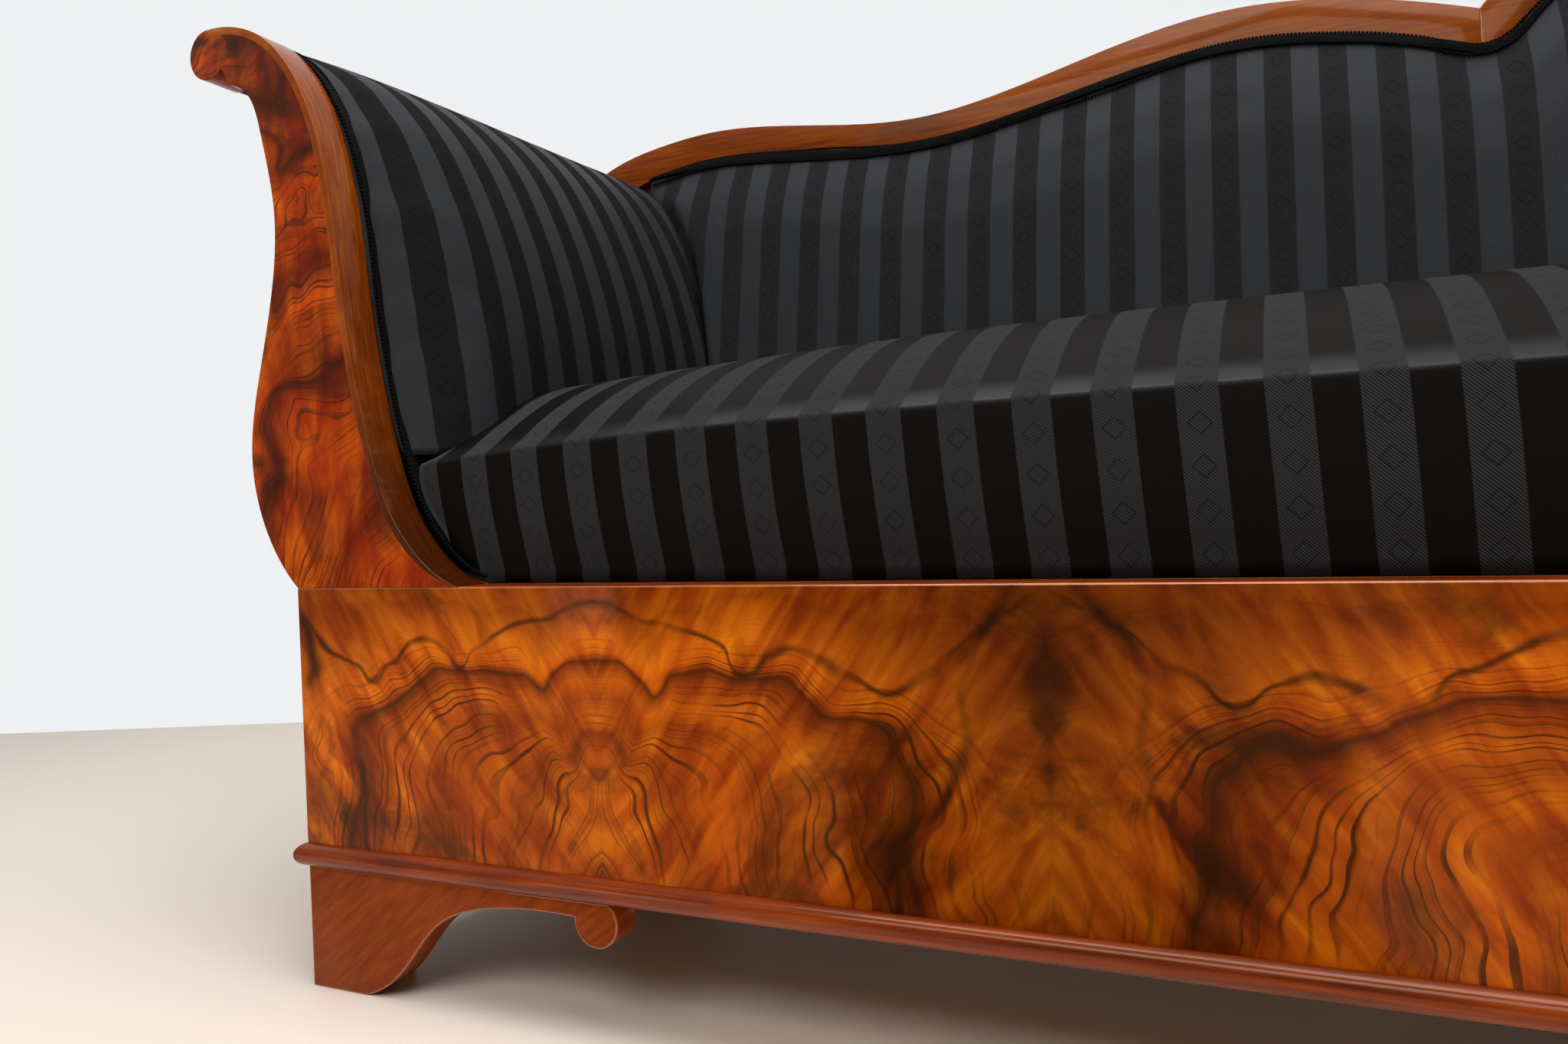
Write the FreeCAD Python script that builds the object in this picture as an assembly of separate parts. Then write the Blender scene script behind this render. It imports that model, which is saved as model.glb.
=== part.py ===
import FreeCAD
import Part
import math
import os

# Seat case: a pine box on bracket feet, faced with walnut veneer. All sizes are millimetres.
CASE_WIDTH = 2080.0        # across the veneered sides
CASE_DEPTH = 505.0         # veneered front to the plain rear face
LIP_HEIGHT = 313.0         # floor to the top of the front rail
FOOT_HEIGHT = 95.0         # floor to the underside of the case
RAIL_THICK = 44.0          # pine rails of the case
VENEER = 1.2
LEAF_WIDTH = 306.0         # book-matched leaves of the front veneer
CAP_THICK = 6.0            # walnut strip let into the top of the front rail
LEDGE = 31.0               # depth of the show wood at the front, and thickness of the arm fronts
CORNER_TONGUE = 12.0       # tongues that join the rails of the case
CORNER_BLOCK = 70.0        # legs of the glued corner blocks
FIT = 0.15                 # clearance round a tongue or tenon

# Base moulding: a half-round bead along the foot of the case
BEAD_HEIGHT = 18.0
BEAD_PROUD = 8.0

# Bracket feet
BRACKET_THICK = 24.0
BRACKET_LENGTH = 285.0     # along the front, from the corner to the end of the scroll
BRACKET_SIDE = 170.0       # along the side of the case
BRACKET_PAD = 54.0         # width that stands on the floor
BRACKET_WEB = 12.0         # height left under the case along the middle of the bracket
BRACKET_DROP = 32.0        # how far the scrolled end hangs below the case
BRACKET_NOSE = 17.6        # radius of the scrolled end
FRONT_BLOCK = 30.0         # square glue block behind a front bracket
REAR_BLOCK = 60.0          # square block that makes a rear foot

# Arms: S-shaped scroll fronts, measured outwards from the case side and up from the lip
ARM_RISE = 452.0           # lip to the top of the scroll
SCROLL_REACH = 96.0        # how far the scroll stands outside the case
SCROLL_RADIUS = 20.0
BELLY_OUT = 44.0
BELLY_RISE = 103.0
WAIST_OUT = 9.0
WAIST_RISE = 295.0
WAIST_IN = 47.0            # inner edge at the waist
SHIN_IN = 81.0             # inner edge where the seat meets the arm
SHIN_RISE = 100.0
TOE_RUN = 159.0            # how far the foot of the arm runs along the lip
BAND = 6.0                 # walnut band on the inner edge of an arm front
ARM_TENON = 14.0
ARM_RAIL_DEEP = 34.0
ARM_RAIL_HIGH = 40.0
ARM_LINING = 3.0           # stretched cloth on the outside of an arm
LINING_INSET = 4.0

# Back: raked frame with a shaped crest, measured up the slope of the back from the lip
BACK_RAKE = 9.5            # degrees
BACK_INSET = 3.4           # back posts to the rear face of the case
POST_THICK = 30.0
CREST_REBATE = 12.0        # show wood of the crest stands this far before the posts
TACK_LEDGE = 22.0          # part of the crest below its show wood that the cloth is tacked to
CREST_SHOULDER = 505.0
SHOULDER_IN = 98.0         # shoulder of the crest inside the case side
CREST_VALLEY = 475.0
CREST_HUMP = 527.0
CREST_CUSP = 479.5
CREST_BAND = 36.0          # show wood of the crest, measured up the slope
CUSP_OUT = 164.0           # half width of the middle arch
ARCH_RISE = 84.0           # cusp to the top of the middle arch
BACK_RAIL_RISE = 110.0     # underside of the lower back rail
BACK_RAIL_HIGH = 50.0
UPRIGHT_WIDE = 50.0
BACK_TENON = 40.0
TONGUE_REACH = 20.0        # how far a loose tongue goes into the crest on each side of its joint
STRAP = 50.0               # webbing width
STRAP_THICK = 2.0
BACK_STRAPS = 8

# Upholstery
SOFT_GAP = 0.4             # room between a soft piece and its neighbour
SEAT_SETBACK = 38.0        # front face of the seat behind the face of the case
SEAT_CREASE = 112.0        # front edge of the seat above the lip
SEAT_CROWN = 186.0         # highest place of the seat above the lip
SEAT_END = 168.0           # height of the seat beside the arms, above the lip
SEAT_FALL = 12.0           # from the highest place down to the back
SEAT_BULGE = 4.0           # swell of the upright front face
ARM_PAD_SWELL = 52.0       # greatest thickness of an arm pad before its frame
PAD_EDGE = 3.0             # tacked edge of a pad
PAD_ROUND = 40.0           # depth over which an arm pad swells behind its braid
BACK_PAD_SWELL = 17.0      # back pad before the face of the crest
BACK_PAD_SLOPE = 45.0      # width of the back pad's sloping border
GIMP_WIDE = 9.0            # braid over the tacked edges
GIMP_THICK = 3.0
CANVAS = 1.5               # hessian over the springs
LEDGER = 24.0              # strips inside the case that carry the webbing
LEDGER_RISE = 45.0         # top of the strips above the underside of the case
SPRING_COLUMNS = 7
SPRING_ROWS = 3
SPRING_RADIUS = 38.0
SPRING_WIRE = 4.0
SPRING_TURNS = 4

# Places that follow from the sizes
SLOPE = math.radians(BACK_RAKE)
STRETCH = 1.0 / math.cos(SLOPE)
HALF = CASE_WIDTH / 2
CREST_THICK = CREST_REBATE + POST_THICK
BACK_FOOT = CASE_DEPTH - BACK_INSET - CREST_THICK * STRETCH
ARCH_TOP = CREST_CUSP + ARCH_RISE
REACH_BACK = BACK_FOOT + CREST_THICK * math.cos(SLOPE) + ARCH_TOP * math.sin(SLOPE)
FRONT = BEAD_PROUD - (BEAD_PROUD + REACH_BACK) / 2
REAR = FRONT + CASE_DEPTH
APRON_FOOT = FOOT_HEIGHT + BEAD_HEIGHT
INNER_FRONT = FRONT + VENEER + RAIL_THICK
INNER_REAR = REAR - RAIL_THICK
INNER_SIDE = HALF - VENEER - RAIL_THICK
SCROLL_OUT = SCROLL_REACH - SCROLL_RADIUS
SCROLL_RISE = ARM_RISE - SCROLL_RADIUS
LEDGER_TOP = FOOT_HEIGHT + LEDGER_RISE
ARCH_RADIUS = (CUSP_OUT ** 2 + ARCH_RISE ** 2) / (2 * ARCH_RISE)


def vec(x, y, z):
    return FreeCAD.Vector(x, y, z)


def block(x0, x1, y0, y1, z0, z1):
    return Part.makeBox(x1 - x0, y1 - y0, z1 - z0, vec(x0, y0, z0))


def curve(points, start=None, end=None):
    """A smooth edge through points of the XZ plane, with optional directions at its ends."""
    spline = Part.BSplineCurve()
    places = [vec(x, 0, z) for x, z in points]
    if start:
        first = vec(start[0], 0, start[1])
        last = vec(end[0], 0, end[1])
        spline.interpolate(Points=places, InitialTangent=first, FinalTangent=last)
    else:
        spline.interpolate(places)
    return spline.toShape()


def line(a, b):
    return Part.makeLine(vec(a[0], 0, a[1]), vec(b[0], 0, b[1]))


def arc(a, through, b):
    return Part.Arc(*[vec(x, 0, z) for x, z in (a, through, b)]).toShape()


def lines(points):
    return [line(a, b) for a, b in zip(points[:-1], points[1:])]


def outline(edges, y=0.0):
    wire = Part.Wire(Part.__sortEdges__(edges))
    wire.translate(vec(0, y, 0))
    return wire


def slab(edges, y0, y1):
    """The closed outline of edges, as thick as y0 to y1."""
    return Part.Face(outline(edges, y0)).extrude(vec(0, y1 - y0, 0))


def mirrored(shape):
    return shape.mirror(vec(0, 0, 0), vec(1, 0, 0))


def lean(shape):
    """Turns a piece drawn upright, with the lip at zero, into the raked plane of the back."""
    leaned = shape.copy()
    leaned.rotate(vec(0, 0, 0), vec(1, 0, 0), -BACK_RAKE)
    leaned.translate(vec(0, FRONT + BACK_FOOT, LIP_HEIGHT))
    return leaned


def behind_back(depth):
    """All the room behind a plane that is depth in front of the back's show wood."""
    return lean(block(-2 * HALF, 2 * HALF, -depth, 2 * CASE_DEPTH, -LIP_HEIGHT, 2 * ARCH_TOP))


def shifted(points, distances):
    """Points moved to the left of the line that they follow, each by its own distance."""
    moved = []
    for i, (x, z) in enumerate(points):
        before = points[max(i - 1, 0)]
        after = points[min(i + 1, len(points) - 1)]
        run = math.hypot(after[0] - before[0], after[1] - before[1])
        across = (-(after[1] - before[1]) / run, (after[0] - before[0]) / run)
        moved.append((x + across[0] * distances[i], z + across[1] * distances[i]))
    return moved


# The inner edge of an arm front, from the top of the scroll down to the toe
ARM_INNER = [
    (-SCROLL_OUT, ARM_RISE),
    (-SCROLL_OUT + SCROLL_RADIUS, ARM_RISE - 0.075 * SCROLL_RADIUS),
    (-0.9 * SCROLL_RADIUS, ARM_RISE - 0.8 * SCROLL_RADIUS),
    (0.8 * SCROLL_RADIUS, ARM_RISE - 2.6 * SCROLL_RADIUS),
    (WAIST_IN, WAIST_RISE + 0.3 * WAIST_IN),
    (0.469 * (WAIST_IN + SHIN_IN), 0.513 * (WAIST_RISE + SHIN_RISE)),
    (SHIN_IN, SHIN_RISE),
    (0.623 * TOE_RUN, 0.53 * SHIN_RISE),
    (0.78 * TOE_RUN, 0.21 * SHIN_RISE),
    (0.893 * TOE_RUN, 0.07 * SHIN_RISE),
    (TOE_RUN, 0.0),
]
# Arm pads cover the edge down to the seat, with a share of their full swell at each point
PAD_SHARE = [0.0, 0.05, 0.12, 0.34, 0.72, 1.0, 0.85]
PAD_POINTS = len(PAD_SHARE)
NECK = (-2.6 * SCROLL_RADIUS, ARM_RISE - 2.45 * SCROLL_RADIUS)
QUIRK_ANGLE = math.radians(-43.0)


def side(points, stretch=1.0):
    """Points given from the case side and the lip, as places on the left of the sofa."""
    return [(-HALF + u, rise * stretch) for u, rise in points]


def scroll_place(radius, angle):
    return (-SCROLL_OUT + radius * math.cos(angle), SCROLL_RISE + radius * math.sin(angle))


def arm_inner(distances, stretch=1.0):
    points = shifted(ARM_INNER, distances)
    return curve(side(points, stretch))


def arm_outer(points_in=0.0, stretch=1.0):
    """The outer edge of an arm front, from the case corner up to the neck under the scroll."""
    points = [
        (0.0, 0.0),
        (-0.57 * BELLY_OUT, 0.32 * BELLY_RISE),
        (-BELLY_OUT, BELLY_RISE),
        (-0.575 * (BELLY_OUT + WAIST_OUT), BELLY_RISE + 0.38 * (WAIST_RISE - BELLY_RISE)),
        (-WAIST_OUT, WAIST_RISE),
        (-SCROLL_RADIUS, ARM_RISE - 4.7 * SCROLL_RADIUS),
        (-1.65 * SCROLL_RADIUS, ARM_RISE - 3.0 * SCROLL_RADIUS),
        NECK,
    ]
    return curve(side([(u + points_in, rise) for u, rise in points], stretch))


def band_depths(band):
    """How far a band goes in from the inner edge, running out to nothing at the toe."""
    return [-band] * 8 + [-0.75 * band, -0.35 * band, 0.0]


def arm_band_outline():
    top = side(shifted(ARM_INNER, band_depths(BAND))[:1] + ARM_INNER[:1])
    return [arm_inner(band_depths(0.0)), arm_inner(band_depths(BAND)), line(*top)]


def arm_front_outline(band, stretch=1.0):
    """An arm front less a band along its inner edge, upright with the lip at zero."""
    inner = shifted(ARM_INNER, band_depths(band))
    quirk = scroll_place(SCROLL_RADIUS, QUIRK_ANGLE)
    nose = scroll_place(SCROLL_RADIUS, math.pi)
    places = side([NECK, quirk, nose, ARM_INNER[0], inner[0], (TOE_RUN, 0.0), (0.0, 0.0)], stretch)
    neck, quirk, nose, top, band_top, toe, corner = places
    edges = [arm_outer(stretch=stretch), line(neck, quirk), arc(quirk, nose, top)]
    if band:
        edges.append(line(top, band_top))
    edges.append(arm_inner(band_depths(band), stretch))
    edges.append(line(toe, corner))
    return edges


def raised(shape, height=LIP_HEIGHT):
    lifted = shape.copy()
    lifted.translate(vec(0, 0, height))
    return lifted


nodes = {}


def add(name, *solids):
    nodes[name] = solids[0] if len(solids) == 1 else Part.makeCompound(list(solids))


def add_pair(name, *solids):
    """A piece of the left half, and its mirror image on the right."""
    add("left_" + name, *solids)
    add("right_" + name, *[mirrored(s) for s in solids])


# Rails of the case, tongued together at the corners
front_rail = block(-HALF + VENEER, HALF - VENEER, FRONT + VENEER, INNER_FRONT, FOOT_HEIGHT, LIP_HEIGHT)
cap_low = LIP_HEIGHT - CAP_THICK
cap = block(-HALF + VENEER, HALF - VENEER, FRONT + VENEER, FRONT + LEDGE, cap_low, LIP_HEIGHT)
front_rail = front_rail.cut(cap)
tongue_side = HALF - VENEER - RAIL_THICK / 3


def front_tongue(fit):
    return block(
        -tongue_side - fit, -tongue_side + RAIL_THICK / 3 + fit,
        INNER_FRONT - CORNER_TONGUE - fit, INNER_FRONT, FOOT_HEIGHT, cap_low,
    )


def rear_tongue(fit):
    return block(
        -INNER_SIDE - CORNER_TONGUE - fit, -INNER_SIDE,
        REAR - 2 * RAIL_THICK / 3 - fit, REAR - RAIL_THICK / 3 + fit, FOOT_HEIGHT, cap_low,
    )


side_rail = block(-HALF + VENEER, -INNER_SIDE, INNER_FRONT, REAR, FOOT_HEIGHT, LIP_HEIGHT)
side_rail = side_rail.fuse(front_tongue(0)).cut(rear_tongue(FIT))
front_rail = front_rail.cut(front_tongue(FIT)).cut(mirrored(front_tongue(FIT)))
rear_rail = block(-INNER_SIDE, INNER_SIDE, INNER_REAR, REAR, FOOT_HEIGHT, LIP_HEIGHT)
rear_rail = rear_rail.fuse([rear_tongue(0), mirrored(rear_tongue(0))])

# Posts and uprights stand on the rear rail, with tenons down into it
upright_out = CASE_WIDTH / 6
tenon_y = (INNER_REAR + REAR) / 2


def back_tenon(x, fit):
    half = RAIL_THICK / 6 + fit
    wide = UPRIGHT_WIDE / 2 + fit
    low = LIP_HEIGHT - BACK_TENON - fit
    return block(x - wide, x + wide, tenon_y - half, tenon_y + half, low, LIP_HEIGHT)


post_tenon_x = -INNER_SIDE + UPRIGHT_WIDE
for x in (post_tenon_x, -upright_out, upright_out, -post_tenon_x):
    rear_rail = rear_rail.cut(back_tenon(x, FIT))

add("front_rail", front_rail)
add("front_rail_cap", cap)
add_pair("side_rail", side_rail)
add("rear_rail", rear_rail)

# Veneer: the front leaves mirror each other, and each side has a pair
inner_leaves = int((CASE_WIDTH - LEAF_WIDTH / 2) // (2 * LEAF_WIDTH)) * 2 - 1
seams = [(i - inner_leaves / 2) * LEAF_WIDTH for i in range(inner_leaves + 1)]
front_edges = [-HALF] + seams + [HALF]
front_leaves = [
    block(a, b, FRONT, FRONT + VENEER, APRON_FOOT, LIP_HEIGHT)
    for a, b in zip(front_edges[:-1], front_edges[1:])
]
side_middle = (FRONT + VENEER + REAR) / 2
side_leaves = [
    block(-HALF, -HALF + VENEER, a, b, APRON_FOOT, LIP_HEIGHT)
    for a, b in ((FRONT + VENEER, side_middle), (side_middle, REAR))
]
add("front_veneer", *front_leaves)
add_pair("side_veneer", *side_leaves)

# Glued blocks in the corners of the case, above the webbing
block_low = LEDGER_TOP + 2 * STRAP_THICK + FIT
block_high = LIP_HEIGHT - RAIL_THICK


def corner_block(y, inward):
    corner = vec(-INNER_SIDE, y, block_low)
    along = vec(-INNER_SIDE + CORNER_BLOCK, y, block_low)
    across = vec(-INNER_SIDE, y + inward * CORNER_BLOCK, block_low)
    face = Part.Face(Part.makePolygon([corner, along, across, corner]))
    return face.extrude(vec(0, 0, block_high - block_low))


left_blocks = [corner_block(INNER_FRONT, 1), corner_block(INNER_REAR, -1)]
add("corner_blocks", *left_blocks, *[mirrored(b) for b in left_blocks])

# Base moulding, mitred at the front corners
mitre_reach = BRACKET_THICK + BEAD_PROUD


def mitre(height):
    """The half of a front corner that belongs to the side: further back than it is inwards."""
    a = vec(-HALF - mitre_reach, FRONT - mitre_reach, 0)
    b = vec(-HALF + mitre_reach, FRONT + mitre_reach, 0)
    c = vec(-HALF - mitre_reach, FRONT + mitre_reach, 0)
    return Part.Face(Part.makePolygon([a, b, c, a])).extrude(vec(0, 0, height))


side_corner = mitre(LIP_HEIGHT)


def bead(along, length, start):
    """A half-round bead that starts at a point on the rail's face and runs along X or Y."""
    out = vec(0, -1, 0) if along.x else vec(-1, 0, 0)
    high = start + vec(0, 0, BEAD_HEIGHT)
    crown = start + vec(0, 0, BEAD_HEIGHT / 2) + out * (BEAD_PROUD + VENEER)
    section = Part.Wire([Part.Arc(start, crown, high).toShape(), Part.makeLine(high, start)])
    return Part.Face(section).extrude(along * length)


front_start = vec(-HALF - BEAD_PROUD, FRONT + VENEER, FOOT_HEIGHT)
front_bead = bead(vec(1, 0, 0), CASE_WIDTH + 2 * BEAD_PROUD, front_start)
front_bead = front_bead.cut(side_corner).cut(mirrored(side_corner))
side_start = vec(-HALF + VENEER, FRONT - BEAD_PROUD, FOOT_HEIGHT)
side_bead = bead(vec(0, 1, 0), CASE_DEPTH + BEAD_PROUD, side_start)
front_corner = block(
    -HALF - mitre_reach, -HALF + mitre_reach,
    FRONT - mitre_reach, FRONT + mitre_reach, 0, LIP_HEIGHT,
).cut(side_corner)
side_bead = side_bead.cut(front_corner)
add("front_bead", front_bead)
add_pair("side_bead", side_bead)


def bracket(length):
    """A bracket foot from its corner at zero: a cove rising from the pad to a scrolled end."""
    web = FOOT_HEIGHT - BRACKET_WEB
    nose_out = length - BRACKET_NOSE
    nose_rise = FOOT_HEIGHT - BRACKET_DROP + BRACKET_NOSE
    nose_low = (nose_out, nose_rise - BRACKET_NOSE)
    nose_side = (nose_out - BRACKET_NOSE, nose_rise)
    nose_run = math.sqrt(BRACKET_NOSE ** 2 - (FOOT_HEIGHT - nose_rise) ** 2)
    nose_end = (nose_out + nose_run, FOOT_HEIGHT)
    cove = nose_side[0] - BRACKET_PAD
    shape = [(0.0, 0.0), (0.21, 0.32), (0.376, 0.75), (0.64, 0.97), (1.0, 1.0)]
    cove_points = [(BRACKET_PAD + along * cove, up * web) for along, up in shape]
    edges = [curve(cove_points), line(cove_points[-1], nose_side), arc(nose_side, nose_low, nose_end)]
    edges += lines([nose_end, (0.0, FOOT_HEIGHT), (0.0, 0.0), (BRACKET_PAD, 0.0)])
    return slab(edges, 0.0, BRACKET_THICK)


front_bracket = bracket(BRACKET_LENGTH)
front_bracket.translate(vec(-HALF, FRONT, 0))
front_bracket = front_bracket.cut(side_corner)
side_bracket = bracket(BRACKET_SIDE)
side_bracket.rotate(vec(0, 0, 0), vec(0, 0, 1), 90)
side_bracket.translate(vec(-HALF + BRACKET_THICK, FRONT, 0))
rear_bracket = side_bracket.mirror(vec(0, FRONT + CASE_DEPTH / 2, 0), vec(0, 1, 0))
side_bracket = side_bracket.cut(front_corner)
add_pair("front_bracket", front_bracket)
add_pair("front_side_bracket", side_bracket)
add_pair("rear_side_bracket", rear_bracket)
block_x = -HALF + BRACKET_THICK
block_y = FRONT + BRACKET_THICK
front_block = block(block_x, block_x + FRONT_BLOCK, block_y, block_y + FRONT_BLOCK, 0, FOOT_HEIGHT)
rear_block = block(block_x, block_x + REAR_BLOCK, REAR - REAR_BLOCK, REAR, 0, FOOT_HEIGHT)
add("front_foot_blocks", front_block, mirrored(front_block))
add("rear_foot_blocks", rear_block, mirrored(rear_block))

# Arm frames: a scrolled front board, two rails and a round pole, tenoned at the front and the back
arm_room = behind_back(-CREST_REBATE)
rail_low = [SHIN_RISE + BELLY_OUT / 4, WAIST_RISE - 0.75 * ARM_RAIL_HIGH]
rail_out = [0.6 * SCROLL_RADIUS, 0.2 * SCROLL_RADIUS]
tenon_inset = ARM_RAIL_HIGH / 5


def arm_rail(u, rise, fit):
    """One rail with its tenons; fit widens the tenons into their mortises."""
    y0 = FRONT + LEDGE
    x0 = -HALF + u
    z0 = LIP_HEIGHT + rise
    body = block(x0, x0 + ARM_RAIL_DEEP, y0, REAR + CASE_DEPTH, z0, z0 + ARM_RAIL_HIGH).cut(arm_room)
    edge = tenon_inset - fit
    tenon = block(
        x0 + edge, x0 + ARM_RAIL_DEEP - edge, y0 - ARM_TENON - fit, REAR + CASE_DEPTH,
        z0 + edge, z0 + ARM_RAIL_HIGH - edge,
    ).cut(behind_back(-CREST_REBATE - ARM_TENON - fit))
    return body.fuse(tenon)


pole_radius = SCROLL_RADIUS - 2 * PAD_EDGE
pole_foot = vec(-HALF - SCROLL_OUT, FRONT + LEDGE, LIP_HEIGHT + SCROLL_RISE)


def arm_pole(fit):
    pole = Part.makeCylinder(pole_radius, 2 * CASE_DEPTH, pole_foot, vec(0, 1, 0)).cut(arm_room)
    half = pole_radius / 2 + fit
    tenon = block(
        pole_foot.x - half, pole_foot.x + half, pole_foot.y - ARM_TENON - fit, 2 * CASE_DEPTH,
        pole_foot.z - half, pole_foot.z + half,
    ).cut(behind_back(-CREST_REBATE - ARM_TENON - fit))
    return pole.fuse(tenon)


arm_rails = [arm_rail(u, rise, 0.0) for u, rise in zip(rail_out, rail_low)]
mortises = [arm_rail(u, rise, FIT) for u, rise in zip(rail_out, rail_low)] + [arm_pole(FIT)]
arm_core = raised(slab(arm_front_outline(BAND), FRONT + VENEER, FRONT + LEDGE)).cut(mortises)
arm_veneer = raised(slab(arm_front_outline(BAND), FRONT, FRONT + VENEER))
arm_band = raised(slab(arm_band_outline(), FRONT, FRONT + LEDGE))
add_pair("arm_front", arm_core)
add_pair("arm_front_veneer", arm_veneer)
add_pair("arm_band", arm_band)
add_pair("arm_rails", *arm_rails)
add_pair("arm_pole", arm_pole(0.0))

# Back posts repeat the S of the arms in the raked plane and stand on the rear corner of the case
post_edges = arm_front_outline(0.0, STRETCH)
post_board = lean(slab(post_edges, CREST_REBATE, CREST_THICK))
below_lip = block(-2 * HALF, 2 * HALF, FRONT, 2 * CASE_DEPTH, 0, LIP_HEIGHT)
post = post_board.cut(below_lip)

# Crest: two wings and a middle arch, each with show wood in front and a ledge for tacks below it
shoulder_rise = CREST_SHOULDER / STRETCH
tail = side([
    ARM_INNER[0],
    (-2.15 * SCROLL_RADIUS, shoulder_rise - 1.25 * SCROLL_RADIUS),
    (1.75 * SCROLL_RADIUS, shoulder_rise - 0.25 * SCROLL_RADIUS),
], STRETCH)
shoulder_x = -HALF + SHOULDER_IN
valley_x = -HALF * 0.5 - CUSP_OUT
hump_x = -HALF * 0.5 + CUSP_OUT * 0.9
fall_x = (hump_x - CUSP_OUT) / 2
fall_drop = 0.36 * CREST_BAND
steep_x = fall_x / 2 - CUSP_OUT / 2
steep_drop = 0.78 * CREST_BAND
WING_TOP = tail + [
    (shoulder_x, CREST_SHOULDER),
    (valley_x, CREST_VALLEY),
    (hump_x, CREST_HUMP),
    (fall_x, CREST_HUMP - fall_drop),
    (steep_x, CREST_HUMP - steep_drop),
    (-CUSP_OUT, CREST_CUSP),
]
valley_band = 0.8 * CREST_BAND
WING_LOW = [
    (-HALF - 1.5 * SCROLL_RADIUS, CREST_SHOULDER - 2 * CREST_BAND),
    (-HALF + 0.85 * SCROLL_RADIUS, CREST_SHOULDER - 1.28 * CREST_BAND),
    (shoulder_x, CREST_SHOULDER - CREST_BAND),
    (valley_x, CREST_VALLEY - valley_band),
    (hump_x, CREST_HUMP - CREST_BAND),
    (fall_x, CREST_HUMP - CREST_BAND - fall_drop),
    (steep_x, CREST_HUMP - CREST_BAND - steep_drop),
    (-CUSP_OUT, CREST_CUSP - CREST_BAND),
]
arch_inner = ARCH_RADIUS - 1.055 * CREST_BAND
arch_centre = ARCH_TOP - ARCH_RADIUS
TIP_ANGLE = math.radians(130.0)
tip_end = (arch_inner * math.cos(TIP_ANGLE), arch_centre + arch_inner * math.sin(TIP_ANGLE))


def wing_low(drop):
    return curve([(x, z - drop) for x, z in WING_LOW])


def arch_low(drop):
    """The lower edge of the middle arch, with a rounded tip under each cusp."""
    tip = (-CUSP_OUT, CREST_CUSP - CREST_BAND - drop)
    end = (tip_end[0], tip_end[1] - drop)
    along = (math.sin(TIP_ANGLE), -math.cos(TIP_ANGLE))
    left = curve([tip, end], (1.0, 0.0), along)
    right = curve([(-end[0], end[1]), (-tip[0], tip[1])], (along[0], -along[1]), (1.0, 0.0))
    return [left, arc(end, (0.0, arch_centre + arch_inner - drop), (-end[0], end[1])), right]


def wing_outline(drop):
    low = WING_LOW[-1][1] - drop
    start = (WING_LOW[0][0], WING_LOW[0][1] - drop)
    ends = [line(WING_TOP[-1], (-CUSP_OUT, low)), line(start, WING_TOP[0])]
    return [curve(WING_TOP), wing_low(drop)] + ends


def arch_outline(drop):
    low = CREST_CUSP - CREST_BAND - drop
    top = arc((-CUSP_OUT, CREST_CUSP), (0.0, ARCH_TOP), (CUSP_OUT, CREST_CUSP))
    ends = [line((s * CUSP_OUT, CREST_CUSP), (s * CUSP_OUT, low)) for s in (-1, 1)]
    return [top] + ends + arch_low(drop)


def crest_piece(shape):
    """Show wood through the whole thickness, and behind its rebate a ledge for the tacks."""
    ledge = slab(shape(TACK_LEDGE), CREST_REBATE, CREST_THICK)
    return slab(shape(0.0), 0.0, CREST_THICK).fuse(ledge)


post_upright = slab(post_edges, 0.0, CREST_THICK)
wing = crest_piece(wing_outline).cut(post_upright)
middle = crest_piece(arch_outline)

# Loose tongues across the joints of the crest, the posts and the lower back rail
tongue_y = CREST_REBATE + POST_THICK / 2
tongue_half = POST_THICK / 6
cusp_z = CREST_CUSP - CREST_BAND / 2
rail_z = BACK_RAIL_RISE + BACK_RAIL_HIGH / 2
cusp_tongue = 0.4 * TONGUE_REACH
rail_tongue = 0.6 * TONGUE_REACH
TONGUES = [
    (-CUSP_OUT - TONGUE_REACH, -CUSP_OUT + TONGUE_REACH, cusp_z - cusp_tongue, cusp_z + cusp_tongue),
    (
        -HALF - 0.9 * TONGUE_REACH, -HALF - 0.2 * TONGUE_REACH,
        ARM_RISE - 2.1 * TONGUE_REACH, ARM_RISE + 1.3 * TONGUE_REACH,
    ),
    (-HALF + TOE_RUN / 4, -HALF + 0.69 * TOE_RUN, rail_z - rail_tongue, rail_z + rail_tongue),
]


def tongue(place, fit):
    x0, x1, z0, z1 = place
    half = tongue_half + fit
    return block(x0 - fit, x1 + fit, tongue_y - half, tongue_y + half, z0 - fit, z1 + fit)


tongues = [tongue(place, 0.0) for place in TONGUES]
sockets = [tongue(place, FIT) for place in TONGUES]
wing = wing.cut(sockets)
middle = middle.cut(sockets).cut([mirrored(s) for s in sockets])
post = post.cut([lean(s) for s in sockets]).cut(mortises)
post = post.fuse(back_tenon(post_tenon_x, 0.0))
add_pair("back_post", post)
add_pair("crest_wing", lean(wing))
add("crest_arch", lean(middle))
all_tongues = [lean(t) for t in tongues]
add("back_tongues", *all_tongues, *[mirrored(t) for t in all_tongues])

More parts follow.
